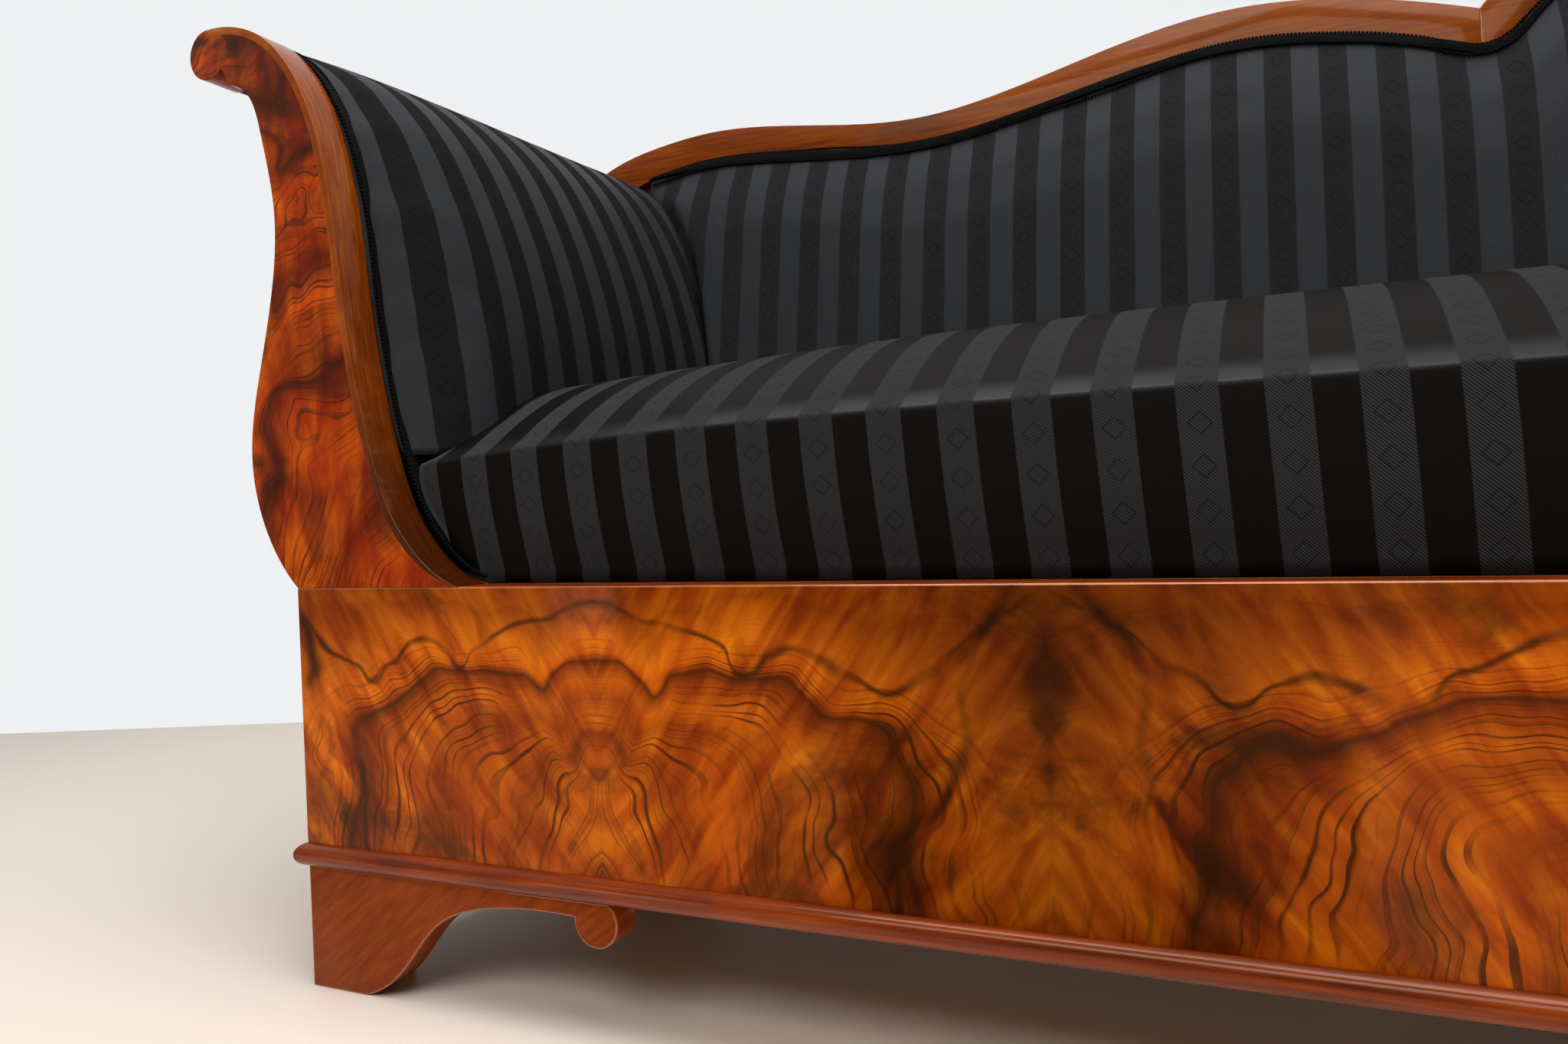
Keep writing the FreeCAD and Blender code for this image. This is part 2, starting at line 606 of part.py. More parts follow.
# Lower back rail between the posts, halved over two uprights that reach up to the crest
rail_top = BACK_RAIL_RISE + BACK_RAIL_HIGH
back_rail = block(-HALF, HALF, CREST_REBATE, CREST_THICK, BACK_RAIL_RISE, rail_top)
back_rail = back_rail.cut([post_upright, mirrored(post_upright)])
outside = block(-2 * HALF, -HALF + TOE_RUN / 4, 0.0, CREST_THICK, 0.0, ARCH_TOP)
back_rail = back_rail.cut([outside, mirrored(outside)]).cut(sockets).cut([mirrored(s) for s in sockets])
uprights = []
for x in (-upright_out, upright_out):
    x0 = x - UPRIGHT_WIDE / 2
    x1 = x + UPRIGHT_WIDE / 2
    halving = block(x0, x1, tongue_y, CREST_THICK, BACK_RAIL_RISE, rail_top)
    lapped = block(x0, x1, CREST_REBATE, tongue_y, BACK_RAIL_RISE, rail_top)
    back_rail = back_rail.cut(halving)
    upright = block(x0, x1, CREST_REBATE, CREST_THICK, -CREST_THICK, CREST_HUMP - CREST_BAND)
    upright = lean(upright.cut(lapped).cut([wing, mirrored(wing)])).cut(below_lip)
    uprights.append(upright.fuse(back_tenon(x, 0.0)))
add("lower_back_rail", lean(back_rail))
add("back_uprights", *uprights)


def field_outline(drop, low, inset=0.0):
    """The back between the arms, from a height up to a line below the crest's show wood."""
    top = [(x, z - drop) for x, z in WING_LOW[1:]]
    start = (top[0][0] + inset, top[0][1])
    left = curve([start] + top[1:])
    rest = lines([(-start[0], start[1]), (-start[0], low), (start[0], low), start])
    return [left, mirrored(left)] + arch_low(drop) + rest


# Webbing straps down the back, from the crest's ledge to the lower back rail
strap_front = CREST_REBATE - STRAP_THICK
field = slab(field_outline(SOFT_GAP, BACK_RAIL_RISE), strap_front, CREST_REBATE)
strap_pitch = 2 * (HALF - TOE_RUN) / BACK_STRAPS
strap_x = [(i + 0.5) * strap_pitch - HALF + TOE_RUN for i in range(BACK_STRAPS)]
back_straps = [
    field.common(block(x - STRAP / 2, x + STRAP / 2, 0.0, CREST_THICK, 0.0, ARCH_TOP)) for x in strap_x
]
add("back_webbing", *[lean(s) for s in back_straps])


def arm_pad_section(fill, y):
    """The outline of an arm pad: over the pole, down the inside and back up along its frame."""
    frame = ARM_INNER[:PAD_POINTS]
    edge = [0.0] + [PAD_EDGE] * (PAD_POINTS - 1)
    swell = [e + fill * ARM_PAD_SWELL * share for e, share in zip(edge, PAD_SHARE)]
    face = side(shifted(frame, swell))
    wrap = pole_radius + SOFT_GAP
    tops = [wrap - SCROLL_RADIUS, wrap - SCROLL_RADIUS, -5.0, -2.0] + [-1.0] * (PAD_POINTS - 4)
    rear = side(shifted(frame, tops))
    foot = scroll_place(SCROLL_RADIUS, -math.pi / 2)
    nose = scroll_place(SCROLL_RADIUS, math.pi)
    pole_low = scroll_place(wrap, -math.pi / 2)
    pole_nose = scroll_place(wrap, math.pi)
    foot, nose, pole_low, pole_nose = side([foot, nose, pole_low, pole_nose])
    edges = [
        curve(face),
        line(face[-1], rear[-1]),
        curve(rear[::-1]),
        arc(rear[0], pole_nose, pole_low),
        line(pole_low, foot),
        arc(foot, nose, face[0]),
    ]
    wire = Part.Wire(edges)
    wire.translate(vec(0, y, LIP_HEIGHT))
    return wire


# Arm pads swell behind the braid and end on the raked posts
pad_start = FRONT + LEDGE + SOFT_GAP
swell_start = pad_start + GIMP_WIDE
rounding = [(0.0, 0.0), (0.55, 0.2), (0.88, 0.6), (1.0, 1.0)]
sections = [arm_pad_section(fill, swell_start + PAD_ROUND * along) for fill, along in rounding]
arm_pad = Part.makeLoft([arm_pad_section(0.0, pad_start)] + sections, True, True)
pad_body = Part.Face(arm_pad_section(1.0, swell_start + PAD_ROUND)).extrude(vec(0, CASE_DEPTH, 0))
pad_end = behind_back(SOFT_GAP - CREST_REBATE)
arm_pad = arm_pad.fuse(pad_body).cut(pad_end)
add_pair("arm_pad", arm_pad)


def edge_strip(near, far, y0, y1):
    """A strip between two distances from an arm's inner edge, from the scroll down to the toe."""
    low = side(shifted(ARM_INNER, [near] * len(ARM_INNER)))[1:]
    high = side(shifted(ARM_INNER, [far] * len(ARM_INNER)))[1:]
    edges = [curve(low), curve(high), line(low[0], high[0]), line(low[-1], high[-1])]
    return raised(slab(edges, y0, y1))


# Braid over the front edge of each arm pad, down to the toe of the arm
gimp_near = PAD_EDGE + SOFT_GAP
gimp_far = gimp_near + GIMP_THICK
gimp_end = pad_start + GIMP_WIDE
add_pair("arm_gimp", edge_strip(gimp_near, gimp_far, pad_start, gimp_end))

# Stretched cloth on the outside of each arm, from the side rail up to the neck
lining_back = LINING_INSET + ARM_LINING
lining_edges = [arm_outer(LINING_INSET), arm_outer(lining_back)]
for u, rise in ((0.0, 0.0), NECK):
    lining_edges.append(line(*side([(u + LINING_INSET, rise), (u + lining_back, rise)])))
arm_lining = raised(slab(lining_edges, pad_start, FRONT + 2 * CASE_DEPTH)).cut(pad_end)
add_pair("arm_lining", arm_lining)

# Back pad: a flat tacked border and a swelling middle, between the arm pads
arm_envelope = Part.Face(arm_pad_section(1.0, FRONT)).extrude(vec(0, 2 * CASE_DEPTH, 0))
arm_envelope.translate(vec(SOFT_GAP, 0, 0))
arm_section = raised(slab(arm_front_outline(0.0), FRONT, FRONT + 2 * CASE_DEPTH))
arm_section.translate(vec(PAD_EDGE, 0, 0))
arms = [arm_envelope, mirrored(arm_envelope), arm_section, mirrored(arm_section)]
border_rear = strap_front - SOFT_GAP
pad_foot = BACK_RAIL_RISE
border = slab(field_outline(SOFT_GAP, pad_foot), 0.0, border_rear)
swell_drop = SOFT_GAP + GIMP_WIDE + 1.0
swell = Part.makeLoft([
    outline(field_outline(swell_drop, pad_foot)),
    outline(field_outline(BACK_PAD_SLOPE, pad_foot), -BACK_PAD_SWELL),
], True, True)
back_pad = lean(border.fuse(swell)).cut(arms)
add("back_pad", back_pad)

# Braid along the lower edge of the crest
gimp_front = -SOFT_GAP - GIMP_THICK
gimp_top = slab(field_outline(SOFT_GAP, pad_foot), gimp_front, -SOFT_GAP)
gimp_rest = slab(field_outline(SOFT_GAP + GIMP_WIDE, 0.0, -STRAP), gimp_front, -SOFT_GAP)
add("back_gimp", lean(gimp_top.cut(gimp_rest)).cut(arms))

# Outside cloth of the back, tacked to the posts and the crest
back_left = arm_outer(LINING_INSET + LEDGE / 2, STRETCH)
lining_neck = side([(NECK[0] + LINING_INSET + LEDGE / 2, NECK[1])], STRETCH)[0]
lining_foot = side([(LINING_INSET + LEDGE / 2, 0.0)])[0]
lining_line = [(x, z - SOFT_GAP) for x, z in WING_LOW[1:]]
lining_top = lining_line[0]
top_left = curve(lining_line)
panel_left = [back_left, top_left, line(lining_neck, lining_top)]
panel_edges = panel_left + [mirrored(edge) for edge in panel_left] + arch_low(SOFT_GAP)
panel_edges.append(line(lining_foot, (-lining_foot[0], lining_foot[1])))
back_panel = lean(slab(panel_edges, CREST_THICK, CREST_THICK + ARM_LINING)).cut(below_lip)
add("back_lining", back_panel)

# Strips inside the case, and webbing stretched over them both ways
strip_low = LEDGER_TOP - LEDGER
long_strips = [
    block(-INNER_SIDE, INNER_SIDE, y, y + LEDGER, strip_low, LEDGER_TOP)
    for y in (INNER_FRONT, INNER_REAR - LEDGER)
]
short_strips = [
    block(x, x + LEDGER, INNER_FRONT + LEDGER, INNER_REAR - LEDGER, strip_low, LEDGER_TOP)
    for x in (-INNER_SIDE, INNER_SIDE - LEDGER)
]
add("webbing_strips", *long_strips, *short_strips)
column_pitch = 2 * INNER_SIDE / SPRING_COLUMNS
row_pitch = (INNER_REAR - INNER_FRONT) / SPRING_ROWS
columns = [-INNER_SIDE + (i + 0.5) * column_pitch for i in range(SPRING_COLUMNS)]
rows = [INNER_FRONT + (i + 0.5) * row_pitch for i in range(SPRING_ROWS)]
strap_mid = LEDGER_TOP + STRAP_THICK
strap_top = strap_mid + STRAP_THICK
add("seat_webbing_across", *[
    block(x - STRAP / 2, x + STRAP / 2, INNER_FRONT, INNER_REAR, LEDGER_TOP, strap_mid)
    for x in columns
])
add("seat_webbing_along", *[
    block(-INNER_SIDE, INNER_SIDE, y - STRAP / 2, y + STRAP / 2, strap_mid, strap_top)
    for y in rows
])

# Coil springs on the crossings of the webbing, with hessian over them
spring_rise = LIP_HEIGHT - strap_top - SPRING_WIRE - 2 * FIT
wire_half = SPRING_WIRE / 2
wire_corners = [(a * wire_half, b * wire_half) for a, b in ((-1, -1), (1, -1), (1, 1), (-1, 1))]
turn_steps = 8
coil_sections = []
for i in range(turn_steps * SPRING_TURNS + 1):
    angle = 2 * math.pi * i / turn_steps
    rise = spring_rise * i / (turn_steps * SPRING_TURNS)
    corners = [
        vec((SPRING_RADIUS + out) * math.cos(angle), (SPRING_RADIUS + out) * math.sin(angle), rise + up)
        for out, up in wire_corners
    ]
    coil_sections.append(Part.makePolygon(corners + corners[:1]))
spring = Part.makeLoft(coil_sections, True, True)
springs = []
for x in columns:
    for y in rows:
        coil = spring.copy()
        coil.translate(vec(x, y, strap_top + wire_half + FIT))
        springs.append(coil)
add("seat_springs", *springs)
canvas_rear = FRONT + BACK_FOOT + CREST_REBATE - LEDGER / 12
front_y = FRONT + SEAT_SETBACK
canvas_front = front_y + SEAT_BULGE
canvas_side = HALF - RAIL_THICK / 2
seat_low = LIP_HEIGHT + CANVAS
add("spring_canvas", block(-canvas_side, canvas_side, canvas_front, canvas_rear, LIP_HEIGHT, seat_low))

# Seat pad: an upright front with a crisp edge, a crowned top, and ends shaped to the arms
crown_y = FRONT + CASE_DEPTH / 2
dome = [
    (front_y, LIP_HEIGHT + SEAT_CREASE),
    (front_y + CASE_DEPTH / 5, LIP_HEIGHT + SEAT_CREASE + 0.8 * (SEAT_CROWN - SEAT_CREASE)),
    (crown_y, LIP_HEIGHT + SEAT_CROWN),
    (REAR, LIP_HEIGHT + SEAT_CROWN - SEAT_FALL),
]
front_low = (front_y + SEAT_BULGE, seat_low)
front_mid = (front_y - SEAT_BULGE, LIP_HEIGHT + SEAT_CREASE / 2)
side_view = [arc(front_low, front_mid, dome[0]), curve(dome)]
side_view += lines([dome[-1], (REAR, seat_low), front_low])
seat_half = HALF - TOE_RUN * 0.4
end_high = LIP_HEIGHT + SEAT_END
front_view = [arc((-seat_half, end_high), (0.0, LIP_HEIGHT + SEAT_CROWN), (seat_half, end_high))]
corners = [(seat_half, end_high), (seat_half, seat_low), (-seat_half, seat_low), (-seat_half, end_high)]
front_view += lines(corners)
seat_pad = slab(front_view, -CASE_DEPTH, 2 * CASE_DEPTH)
seat_turned = slab(side_view, -HALF, HALF)
turn = FreeCAD.Matrix(0, 1, 0, 0, 1, 0, 0, 0, 0, 0, 1, 0, 0, 0, 0, 1)
seat_pad = seat_pad.common(seat_turned.transformGeometry(turn))
braid_room = edge_strip(0.0, gimp_far + SOFT_GAP, FRONT, gimp_end + SOFT_GAP)
seat_pad = seat_pad.cut(arms + [braid_room, mirrored(braid_room)])
seat_pad = seat_pad.cut(behind_back(BACK_PAD_SWELL + SOFT_GAP))
add("seat_pad", seat_pad)

os.makedirs("parts", exist_ok=True)
for name, shape in nodes.items():
    shape.exportStep("parts/" + name + ".step")
    state = "valid" if shape.isValid() else "not valid"
    print(name, len(shape.Solids), "solids", state, round(shape.Volume / 1000.0, 1), "cm3")
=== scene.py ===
import math
import bmesh
import bpy
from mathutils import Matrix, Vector


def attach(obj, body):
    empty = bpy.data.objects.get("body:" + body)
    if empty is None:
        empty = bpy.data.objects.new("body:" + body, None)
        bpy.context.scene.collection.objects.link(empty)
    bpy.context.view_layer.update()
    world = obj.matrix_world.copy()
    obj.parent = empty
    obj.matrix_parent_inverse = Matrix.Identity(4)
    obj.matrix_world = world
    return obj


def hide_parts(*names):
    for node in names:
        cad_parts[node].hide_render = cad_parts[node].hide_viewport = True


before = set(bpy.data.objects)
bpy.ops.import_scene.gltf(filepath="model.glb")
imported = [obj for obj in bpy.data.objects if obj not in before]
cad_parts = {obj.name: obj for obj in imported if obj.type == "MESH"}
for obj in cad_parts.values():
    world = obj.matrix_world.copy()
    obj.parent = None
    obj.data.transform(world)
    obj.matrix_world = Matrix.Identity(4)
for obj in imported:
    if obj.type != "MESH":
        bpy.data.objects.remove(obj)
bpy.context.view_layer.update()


# Case and hidden frame: pine rails, blocks, strips, uprights and arm rails, planed and left
# without a finish. They are glued and tenoned together, and show only from below and behind.
def linear(hex_code):
    parts = [int(hex_code[i:i + 2], 16) / 255 for i in (1, 3, 5)]
    return [c / 12.92 if c <= 0.04045 else ((c + 0.055) / 1.055) ** 2.4 for c in parts] + [1.0]


def add(mat, kind, links=None, **settings):
    """Adds one node, sets its properties, and fills its inputs with values or other outputs."""
    made = mat.node_tree.nodes.new("ShaderNode" + kind)
    for key, value in settings.items():
        setattr(made, key, value)
    for key, value in (links or {}).items():
        if isinstance(value, bpy.types.NodeSocket):
            mat.node_tree.links.new(value, made.inputs[key])
        else:
            made.inputs[key].default_value = value
    return made


def finish_of(name):
    """A new material with only its shader and the Object coordinates."""
    mat = bpy.data.materials.new(name)
    mat.use_nodes = True
    shader = mat.node_tree.nodes["Principled BSDF"]
    return mat, shader, add(mat, "TexCoord").outputs["Object"]


def ramp(node, stops):
    """Sets the colour stops of a ColorRamp from places and hex colours."""
    while len(node.color_ramp.elements) < len(stops):
        node.color_ramp.elements.new(0.5)
    for element, (place, hex_code) in zip(node.color_ramp.elements, stops):
        element.position = place
        element.color = linear(hex_code)


def wear(nodes, mat):
    """Gives CAD nodes a finish just as they are."""
    for name in nodes:
        for part in bpy.data.objects[name].material_slots:
            part.material = mat


# Planed pine gives the eye pale, straw-coloured boards with soft rings and no shine
PINE_RINGS = 0.011
WAVE_PERIOD = 0.314
planed_pine, shader, place = finish_of("planed_pine")
stretch = add(planed_pine, "Mapping", {"Vector": place, "Scale": (0.05, 1.0, 1.0)})
rings = add(planed_pine, "TexWave", {
    "Vector": stretch.outputs[0], "Scale": WAVE_PERIOD / PINE_RINGS, "Distortion": 3.0, "Detail": 2.0,
    "Detail Scale": 0.6,
}, bands_direction="DIAGONAL")
pine_tone = add(planed_pine, "ValToRGB", {"Fac": rings.outputs["Fac"]})
ramp(pine_tone, [(0.0, "#b98d56"), (1.0, "#d2ab74")])
planed_pine.node_tree.links.new(pine_tone.outputs[0], shader.inputs["Base Color"])
shader.inputs["Roughness"].default_value = 0.72
wear([
    "front_rail", "left_side_rail", "right_side_rail", "rear_rail", "corner_blocks", "front_foot_blocks",
    "rear_foot_blocks", "left_arm_rails", "right_arm_rails", "left_arm_pole", "right_arm_pole",
    "back_tongues", "lower_back_rail", "back_uprights", "webbing_strips",
], planed_pine)


# Front of the case: sawn walnut veneer laid as book-matched leaves, so that the figure is mirrored
# at each joint, arched over one joint and pointed down at the next. French polished to a deep gloss.
ARRIS = math.radians(30)
FLAT = math.radians(0.5)
SAME_PLACE = 1e-5


def trimmed(node, name, radius, steps, mat, only=None):
    """A copy of a CAD node: triangles joined into faces, arrises rounded and marked for wear and a painted
    highlight.
    """
    bm = bmesh.new()
    bm.from_mesh(bpy.data.objects[node].data)
    bmesh.ops.remove_doubles(bm, verts=bm.verts, dist=SAME_PLACE)
    bmesh.ops.dissolve_limit(bm, angle_limit=FLAT, verts=bm.verts, edges=bm.edges)
    arris = [e for e in bm.edges if len(e.link_faces) == 2 and e.calc_face_angle() > ARRIS]
    if only:
        arris = [e for e in arris if only(e.verts[0].co, e.verts[1].co)]
    arris_wear_and_highlight = bm.faces.layers.float.new("arris_wear_and_highlight")
    if radius:
        rounded = bmesh.ops.bevel(
            bm, geom=arris, offset=radius, offset_type="OFFSET", segments=steps, profile=0.5,
            affect="EDGES", material=-1, clamp_overlap=True,
        )
        # The rounded faces are marked for the pale arris colour: wear and a painted highlight
        for face in rounded["faces"]:
            face[arris_wear_and_highlight] = 1.0
    mesh = bpy.data.meshes.new(name)
    bm.to_mesh(mesh)
    bm.free()
    mesh.shade_smooth()
    mesh.materials.append(mat)
    piece = bpy.data.objects.new(name, mesh)
    bpy.context.scene.collection.objects.link(piece)
    mesh.set_sharp_from_angle(angle=ARRIS)
    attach(piece, "root")
    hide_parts(node)
    return piece


def french_polish(mat, shader, colour, coat):
    """Rubbed shellac: a deep amber gloss, clear on top, and pale arrises, both worn and given a painted
    highlight in their colour.
    """
    arris_wear_and_highlight = add(mat, "Attribute", attribute_name="arris_wear_and_highlight")
    # Painted highlight and wear: the marked arris faces are mixed a quarter of the way to pale gold #c98a58
    pale = add(mat, "Math", {0: arris_wear_and_highlight.outputs["Fac"], 1: 0.25}, operation="MULTIPLY")
    worn_and_highlit = add(mat, "Mix", {0: pale.outputs[0], 6: colour, 7: linear("#c98a58")}, data_type="RGBA")
    mat.node_tree.links.new(worn_and_highlit.outputs[2], shader.inputs["Base Color"])
    thick = add(mat, "MapRange", {"Value": arris_wear_and_highlight.outputs["Fac"], "To Min": coat, "To Max": 1.0})
    mat.node_tree.links.new(thick.outputs[0], shader.inputs["Coat Weight"])
    shader.inputs["Roughness"].default_value = 0.3
    shader.inputs["Specular IOR Level"].default_value = 0.3
    shader.inputs["Specular Tint"].default_value = linear("#ffa030")
    shader.inputs["Coat Roughness"].default_value = 0.08


def walnut_figure(mat, shader, flow, grain, heart, reach, line_gap, calm, figure):
    """Colours wood by a flow in metres: heart rings, growth lines up to a calm flow, a dark figure."""
    along = add(mat, "Math", {0: flow, 1: 1.0 / reach}, operation="MULTIPLY")
    rings = add(mat, "ValToRGB", {"Fac": along.outputs[0]})
    ramp(rings, heart)
    feather = add(mat, "Mapping", {
        "Vector": grain, "Rotation": (0.0, 0.0, math.radians(-34)), "Scale": (1.0, 4.2, 4.2),
    }, vector_type="TEXTURE")
    feather = add(mat, "TexNoise", {
        "Vector": feather.outputs[0], "Scale": 70.0, "Detail": 4.0, "Distortion": 0.6,
    })
    bright = add(mat, "MapRange", {
        "Value": feather.outputs["Fac"], "From Min": 0.3, "From Max": 0.7, "To Min": 0.56, "To Max": 1.42,
    })
    golden = add(mat, "MapRange", {
        "Value": feather.outputs["Fac"], "From Min": 0.35, "From Max": 0.7, "To Min": 0.496, "To Max": 0.514,
    })
    tone = add(mat, "HueSaturation", {
        "Color": rings.outputs[0], "Value": bright.outputs[0], "Hue": golden.outputs[0],
    })
    smoke = add(mat, "TexNoise", {
        "Vector": grain, "Scale": 11.0, "Detail": 5.0, "Roughness": 0.6, "Distortion": 0.9,
    })
    smoke = add(mat, "MapRange", {
        "Value": smoke.outputs["Fac"], "From Min": 0.50, "From Max": 0.68, "To Min": 0.0, "To Max": 0.7,
    }, interpolation_type="SMOOTHSTEP")
    tone = add(mat, "Mix", {0: smoke.outputs[0], 6: tone.outputs[0], 7: linear("#3b1a06")}, data_type="RGBA")
    count = add(mat, "Math", {0: flow, 1: 1.0 / line_gap}, operation="MULTIPLY")
    lines = add(mat, "TexNoise", {
        "W": count.outputs[0], "Scale": 1.0, "Detail": 3.0, "Roughness": 0.65,
    }, noise_dimensions="1D")
    clouds = add(mat, "TexNoise", {"Vector": grain, "Scale": 16.0, "Detail": 3.0, "Roughness": 0.55})
    part = add(mat, "MapRange", {
        "Value": clouds.outputs["Fac"], "From Min": 0.38, "From Max": 0.58, "To Min": 0.15, "To Max": 0.95,
    })
    quiet = add(mat, "MapRange", {
        "Value": flow, "From Min": calm, "From Max": 1.25 * calm, "To Min": 1.0, "To Max": 0.2,
    })
    drawn = add(mat, "Math", {0: part.outputs[0], 1: quiet.outputs[0]}, operation="MULTIPLY")
    dark = add(mat, "MapRange", {
        "Value": lines.outputs["Fac"], "From Min": 0.50, "From Max": 0.66, "To Max": drawn.outputs[0],
    }, interpolation_type="SMOOTHSTEP")
    inked = add(mat, "Mix", {0: dark.outputs[0], 6: tone.outputs[2], 7: linear("#431c04")}, data_type="RGBA")
    shade = add(mat, "Math", {0: figure, 1: part.outputs[0]}, operation="MULTIPLY")
    inked = add(mat, "Mix", {
        0: shade.outputs[0], 6: inked.outputs[2], 7: linear("#1d0c04"),
    }, data_type="RGBA")
    french_polish(mat, shader, inked.outputs[2], 0.1)


LEAF = 0.306
JOINT = 0.765
LEAF_DRIFT = 0.12
APRON_FOOT = 0.113
APRON_HIGH = 0.2
WANDER = (0.075, 0.052, 0.0)
LOBE_AT = 0.030
LOBE_HALF = 0.024
LOBE_RISE = 0.016
ARCH_HIGH = 0.145
ARCH_POWER = 2.6
ARCH_REACH = 0.225
PATCH_AT = (0.224, 0.022, 0.0)
STREAK_FOOT = 0.209
STREAK_LEAN = 0.39
SEAM_WIDE = 0.007
RING_REACH = 0.5
TOP_ARRIS = 0.0011
# The dark line under the top edge, from the arched joint to the pointed one, as shares of the leaf
TOP_LINE = [
    (0.0, 0.955), (0.114, 0.90), (0.23, 0.86), (0.33, 0.79), (0.386, 0.70), (0.46, 0.75), (0.56, 0.76),
    (0.65, 0.675), (0.735, 0.73), (0.856, 0.80), (0.93, 0.93), (1.0, 1.0),
]
# Heartwood rings from the foot of the arched joint outwards, as shares of half a metre
LEAF_RINGS = [
    (0.00, "#a03d05"), (0.08, "#bc4f08"), (0.14, "#8b3104"), (0.18, "#b94c06"), (0.26, "#9b3a04"),
    (0.34, "#be5108"), (0.40, "#993904"), (0.43, "#812d04"), (0.452, "#521b03"), (0.47, "#943404"),
    (0.50, "#c85407"), (0.60, "#ca5b0a"), (0.72, "#b04c07"), (0.84, "#9d3f05"), (0.93, "#8c3604"),
    (1.00, "#943a04"),
]
# Book-matched walnut gives the eye mirrored golden arches, dark growth lines and a deep gloss
book_walnut, shader, place = finish_of("book_matched_walnut")
axes = add(book_walnut, "SeparateXYZ", {0: place})
fold = add(book_walnut, "Math", {0: axes.outputs[0], 1: JOINT}, operation="ADD")
fold = add(book_walnut, "Math", {0: fold.outputs[0], 1: LEAF}, operation="PINGPONG")
rise = add(book_walnut, "Math", {0: axes.outputs[2], 1: APRON_FOOT}, operation="SUBTRACT")
slow = add(book_walnut, "Math", {0: axes.outputs[0], 1: LEAF_DRIFT}, operation="MULTIPLY")
leaf = add(book_walnut, "CombineXYZ", {0: fold.outputs[0], 1: rise.outputs[0], 2: slow.outputs[0]})
wander = add(book_walnut, "TexNoise", {
    "Vector": leaf.outputs[0], "Scale": 13.0, "Detail": 2.0, "Roughness": 0.42,
})
wander = add(book_walnut, "VectorMath", {
    0: wander.outputs["Color"], 1: (0.5, 0.5, 0.5),
}, operation="SUBTRACT")
bent = add(book_walnut, "VectorMath", {
    0: wander.outputs[0], 1: WANDER, 2: leaf.outputs[0],
}, operation="MULTIPLY_ADD")
bent_axes = add(book_walnut, "SeparateXYZ", {0: bent.outputs[0]})
along, up = bent_axes.outputs[0], bent_axes.outputs[1]
lobe = add(book_walnut, "Math", {0: along, 1: LOBE_AT}, operation="SUBTRACT")
lobe = add(book_walnut, "Math", {0: lobe.outputs[0]}, operation="ABSOLUTE")
lobe = add(book_walnut, "MapRange", {
    "Value": lobe.outputs[0], "From Min": 0.0, "From Max": LOBE_HALF, "To Min": LOBE_RISE, "To Max": 0.0,
}, interpolation_type="SMOOTHSTEP")
high = add(book_walnut, "Math", {0: up, 1: lobe.outputs[0]}, operation="ADD")
high = add(book_walnut, "Math", {0: high.outputs[0], 1: 1.0 / ARCH_HIGH}, operation="MULTIPLY")
high = add(book_walnut, "Math", {0: high.outputs[0], 1: 0.0}, operation="MAXIMUM")
high = add(book_walnut, "Math", {0: high.outputs[0], 1: ARCH_POWER}, operation="POWER")
high = add(book_walnut, "Math", {0: high.outputs[0], 1: ARCH_REACH}, operation="MULTIPLY")
flow = add(book_walnut, "CombineXYZ", {0: along, 1: high.outputs[0]})
flow = add(book_walnut, "VectorMath", {0: flow.outputs[0]}, operation="LENGTH")
share = add(book_walnut, "Math", {0: along, 1: 1.0 / LEAF}, operation="MULTIPLY")
top_line = add(book_walnut, "FloatCurve", {"Value": share.outputs[0]})
curve = top_line.mapping.curves[0]
curve.points[0].location = TOP_LINE[0]
curve.points[1].location = TOP_LINE[-1]
for x, y in TOP_LINE[1:-1]:
    curve.points.new(x, y)
top_line.mapping.update()
under = add(book_walnut, "Math", {
    0: top_line.outputs[0], 1: -APRON_HIGH, 2: up,
}, operation="MULTIPLY_ADD")
under = add(book_walnut, "Math", {0: under.outputs[0]}, operation="ABSOLUTE")
under = add(book_walnut, "MapRange", {
    "Value": under.outputs[0], "From Min": 0.0002, "From Max": 0.0048, "To Min": 0.85, "To Max": 0.0,
}, interpolation_type="SMOOTHSTEP")
patch = add(book_walnut, "VectorMath", {0: bent.outputs[0], 1: (1.0, 1.3, 0.0)}, operation="MULTIPLY")
patch = add(book_walnut, "VectorMath", {0: patch.outputs[0], 1: PATCH_AT}, operation="DISTANCE")
torn = add(book_walnut, "Mapping", {
    "Vector": leaf.outputs[0], "Rotation": (0.0, 0.0, math.radians(-30)), "Scale": (1.0, 5.0, 1.0),
}, vector_type="TEXTURE")
torn = add(book_walnut, "TexNoise", {"Vector": torn.outputs[0], "Scale": 75.0, "Detail": 3.0})
torn = add(book_walnut, "MapRange", {
    "Value": torn.outputs["Fac"], "From Min": 0.38, "From Max": 0.62, "To Min": 0.25, "To Max": 0.95,
})
patch = add(book_walnut, "MapRange", {
    "Value": patch.outputs["Value"], "From Min": 0.012, "From Max": 0.060,
    "To Min": torn.outputs[0], "To Max": 0.0,
}, interpolation_type="SMOOTHSTEP")
streak = add(book_walnut, "Math", {0: up, 1: STREAK_LEAN, 2: STREAK_FOOT}, operation="MULTIPLY_ADD")
streak = add(book_walnut, "Math", {0: along, 1: streak.outputs[0]}, operation="SUBTRACT")
streak = add(book_walnut, "Math", {0: streak.outputs[0]}, operation="ABSOLUTE")
streak = add(book_walnut, "MapRange", {
    "Value": streak.outputs[0], "From Min": 0.0, "From Max": 0.009, "To Min": 0.9, "To Max": 0.0,
}, interpolation_type="SMOOTHSTEP")
seam = add(book_walnut, "MapRange", {
    "Value": along, "From Min": LEAF - SEAM_WIDE, "From Max": LEAF, "To Min": 0.0, "To Max": 0.7,
}, interpolation_type="SMOOTHSTEP")
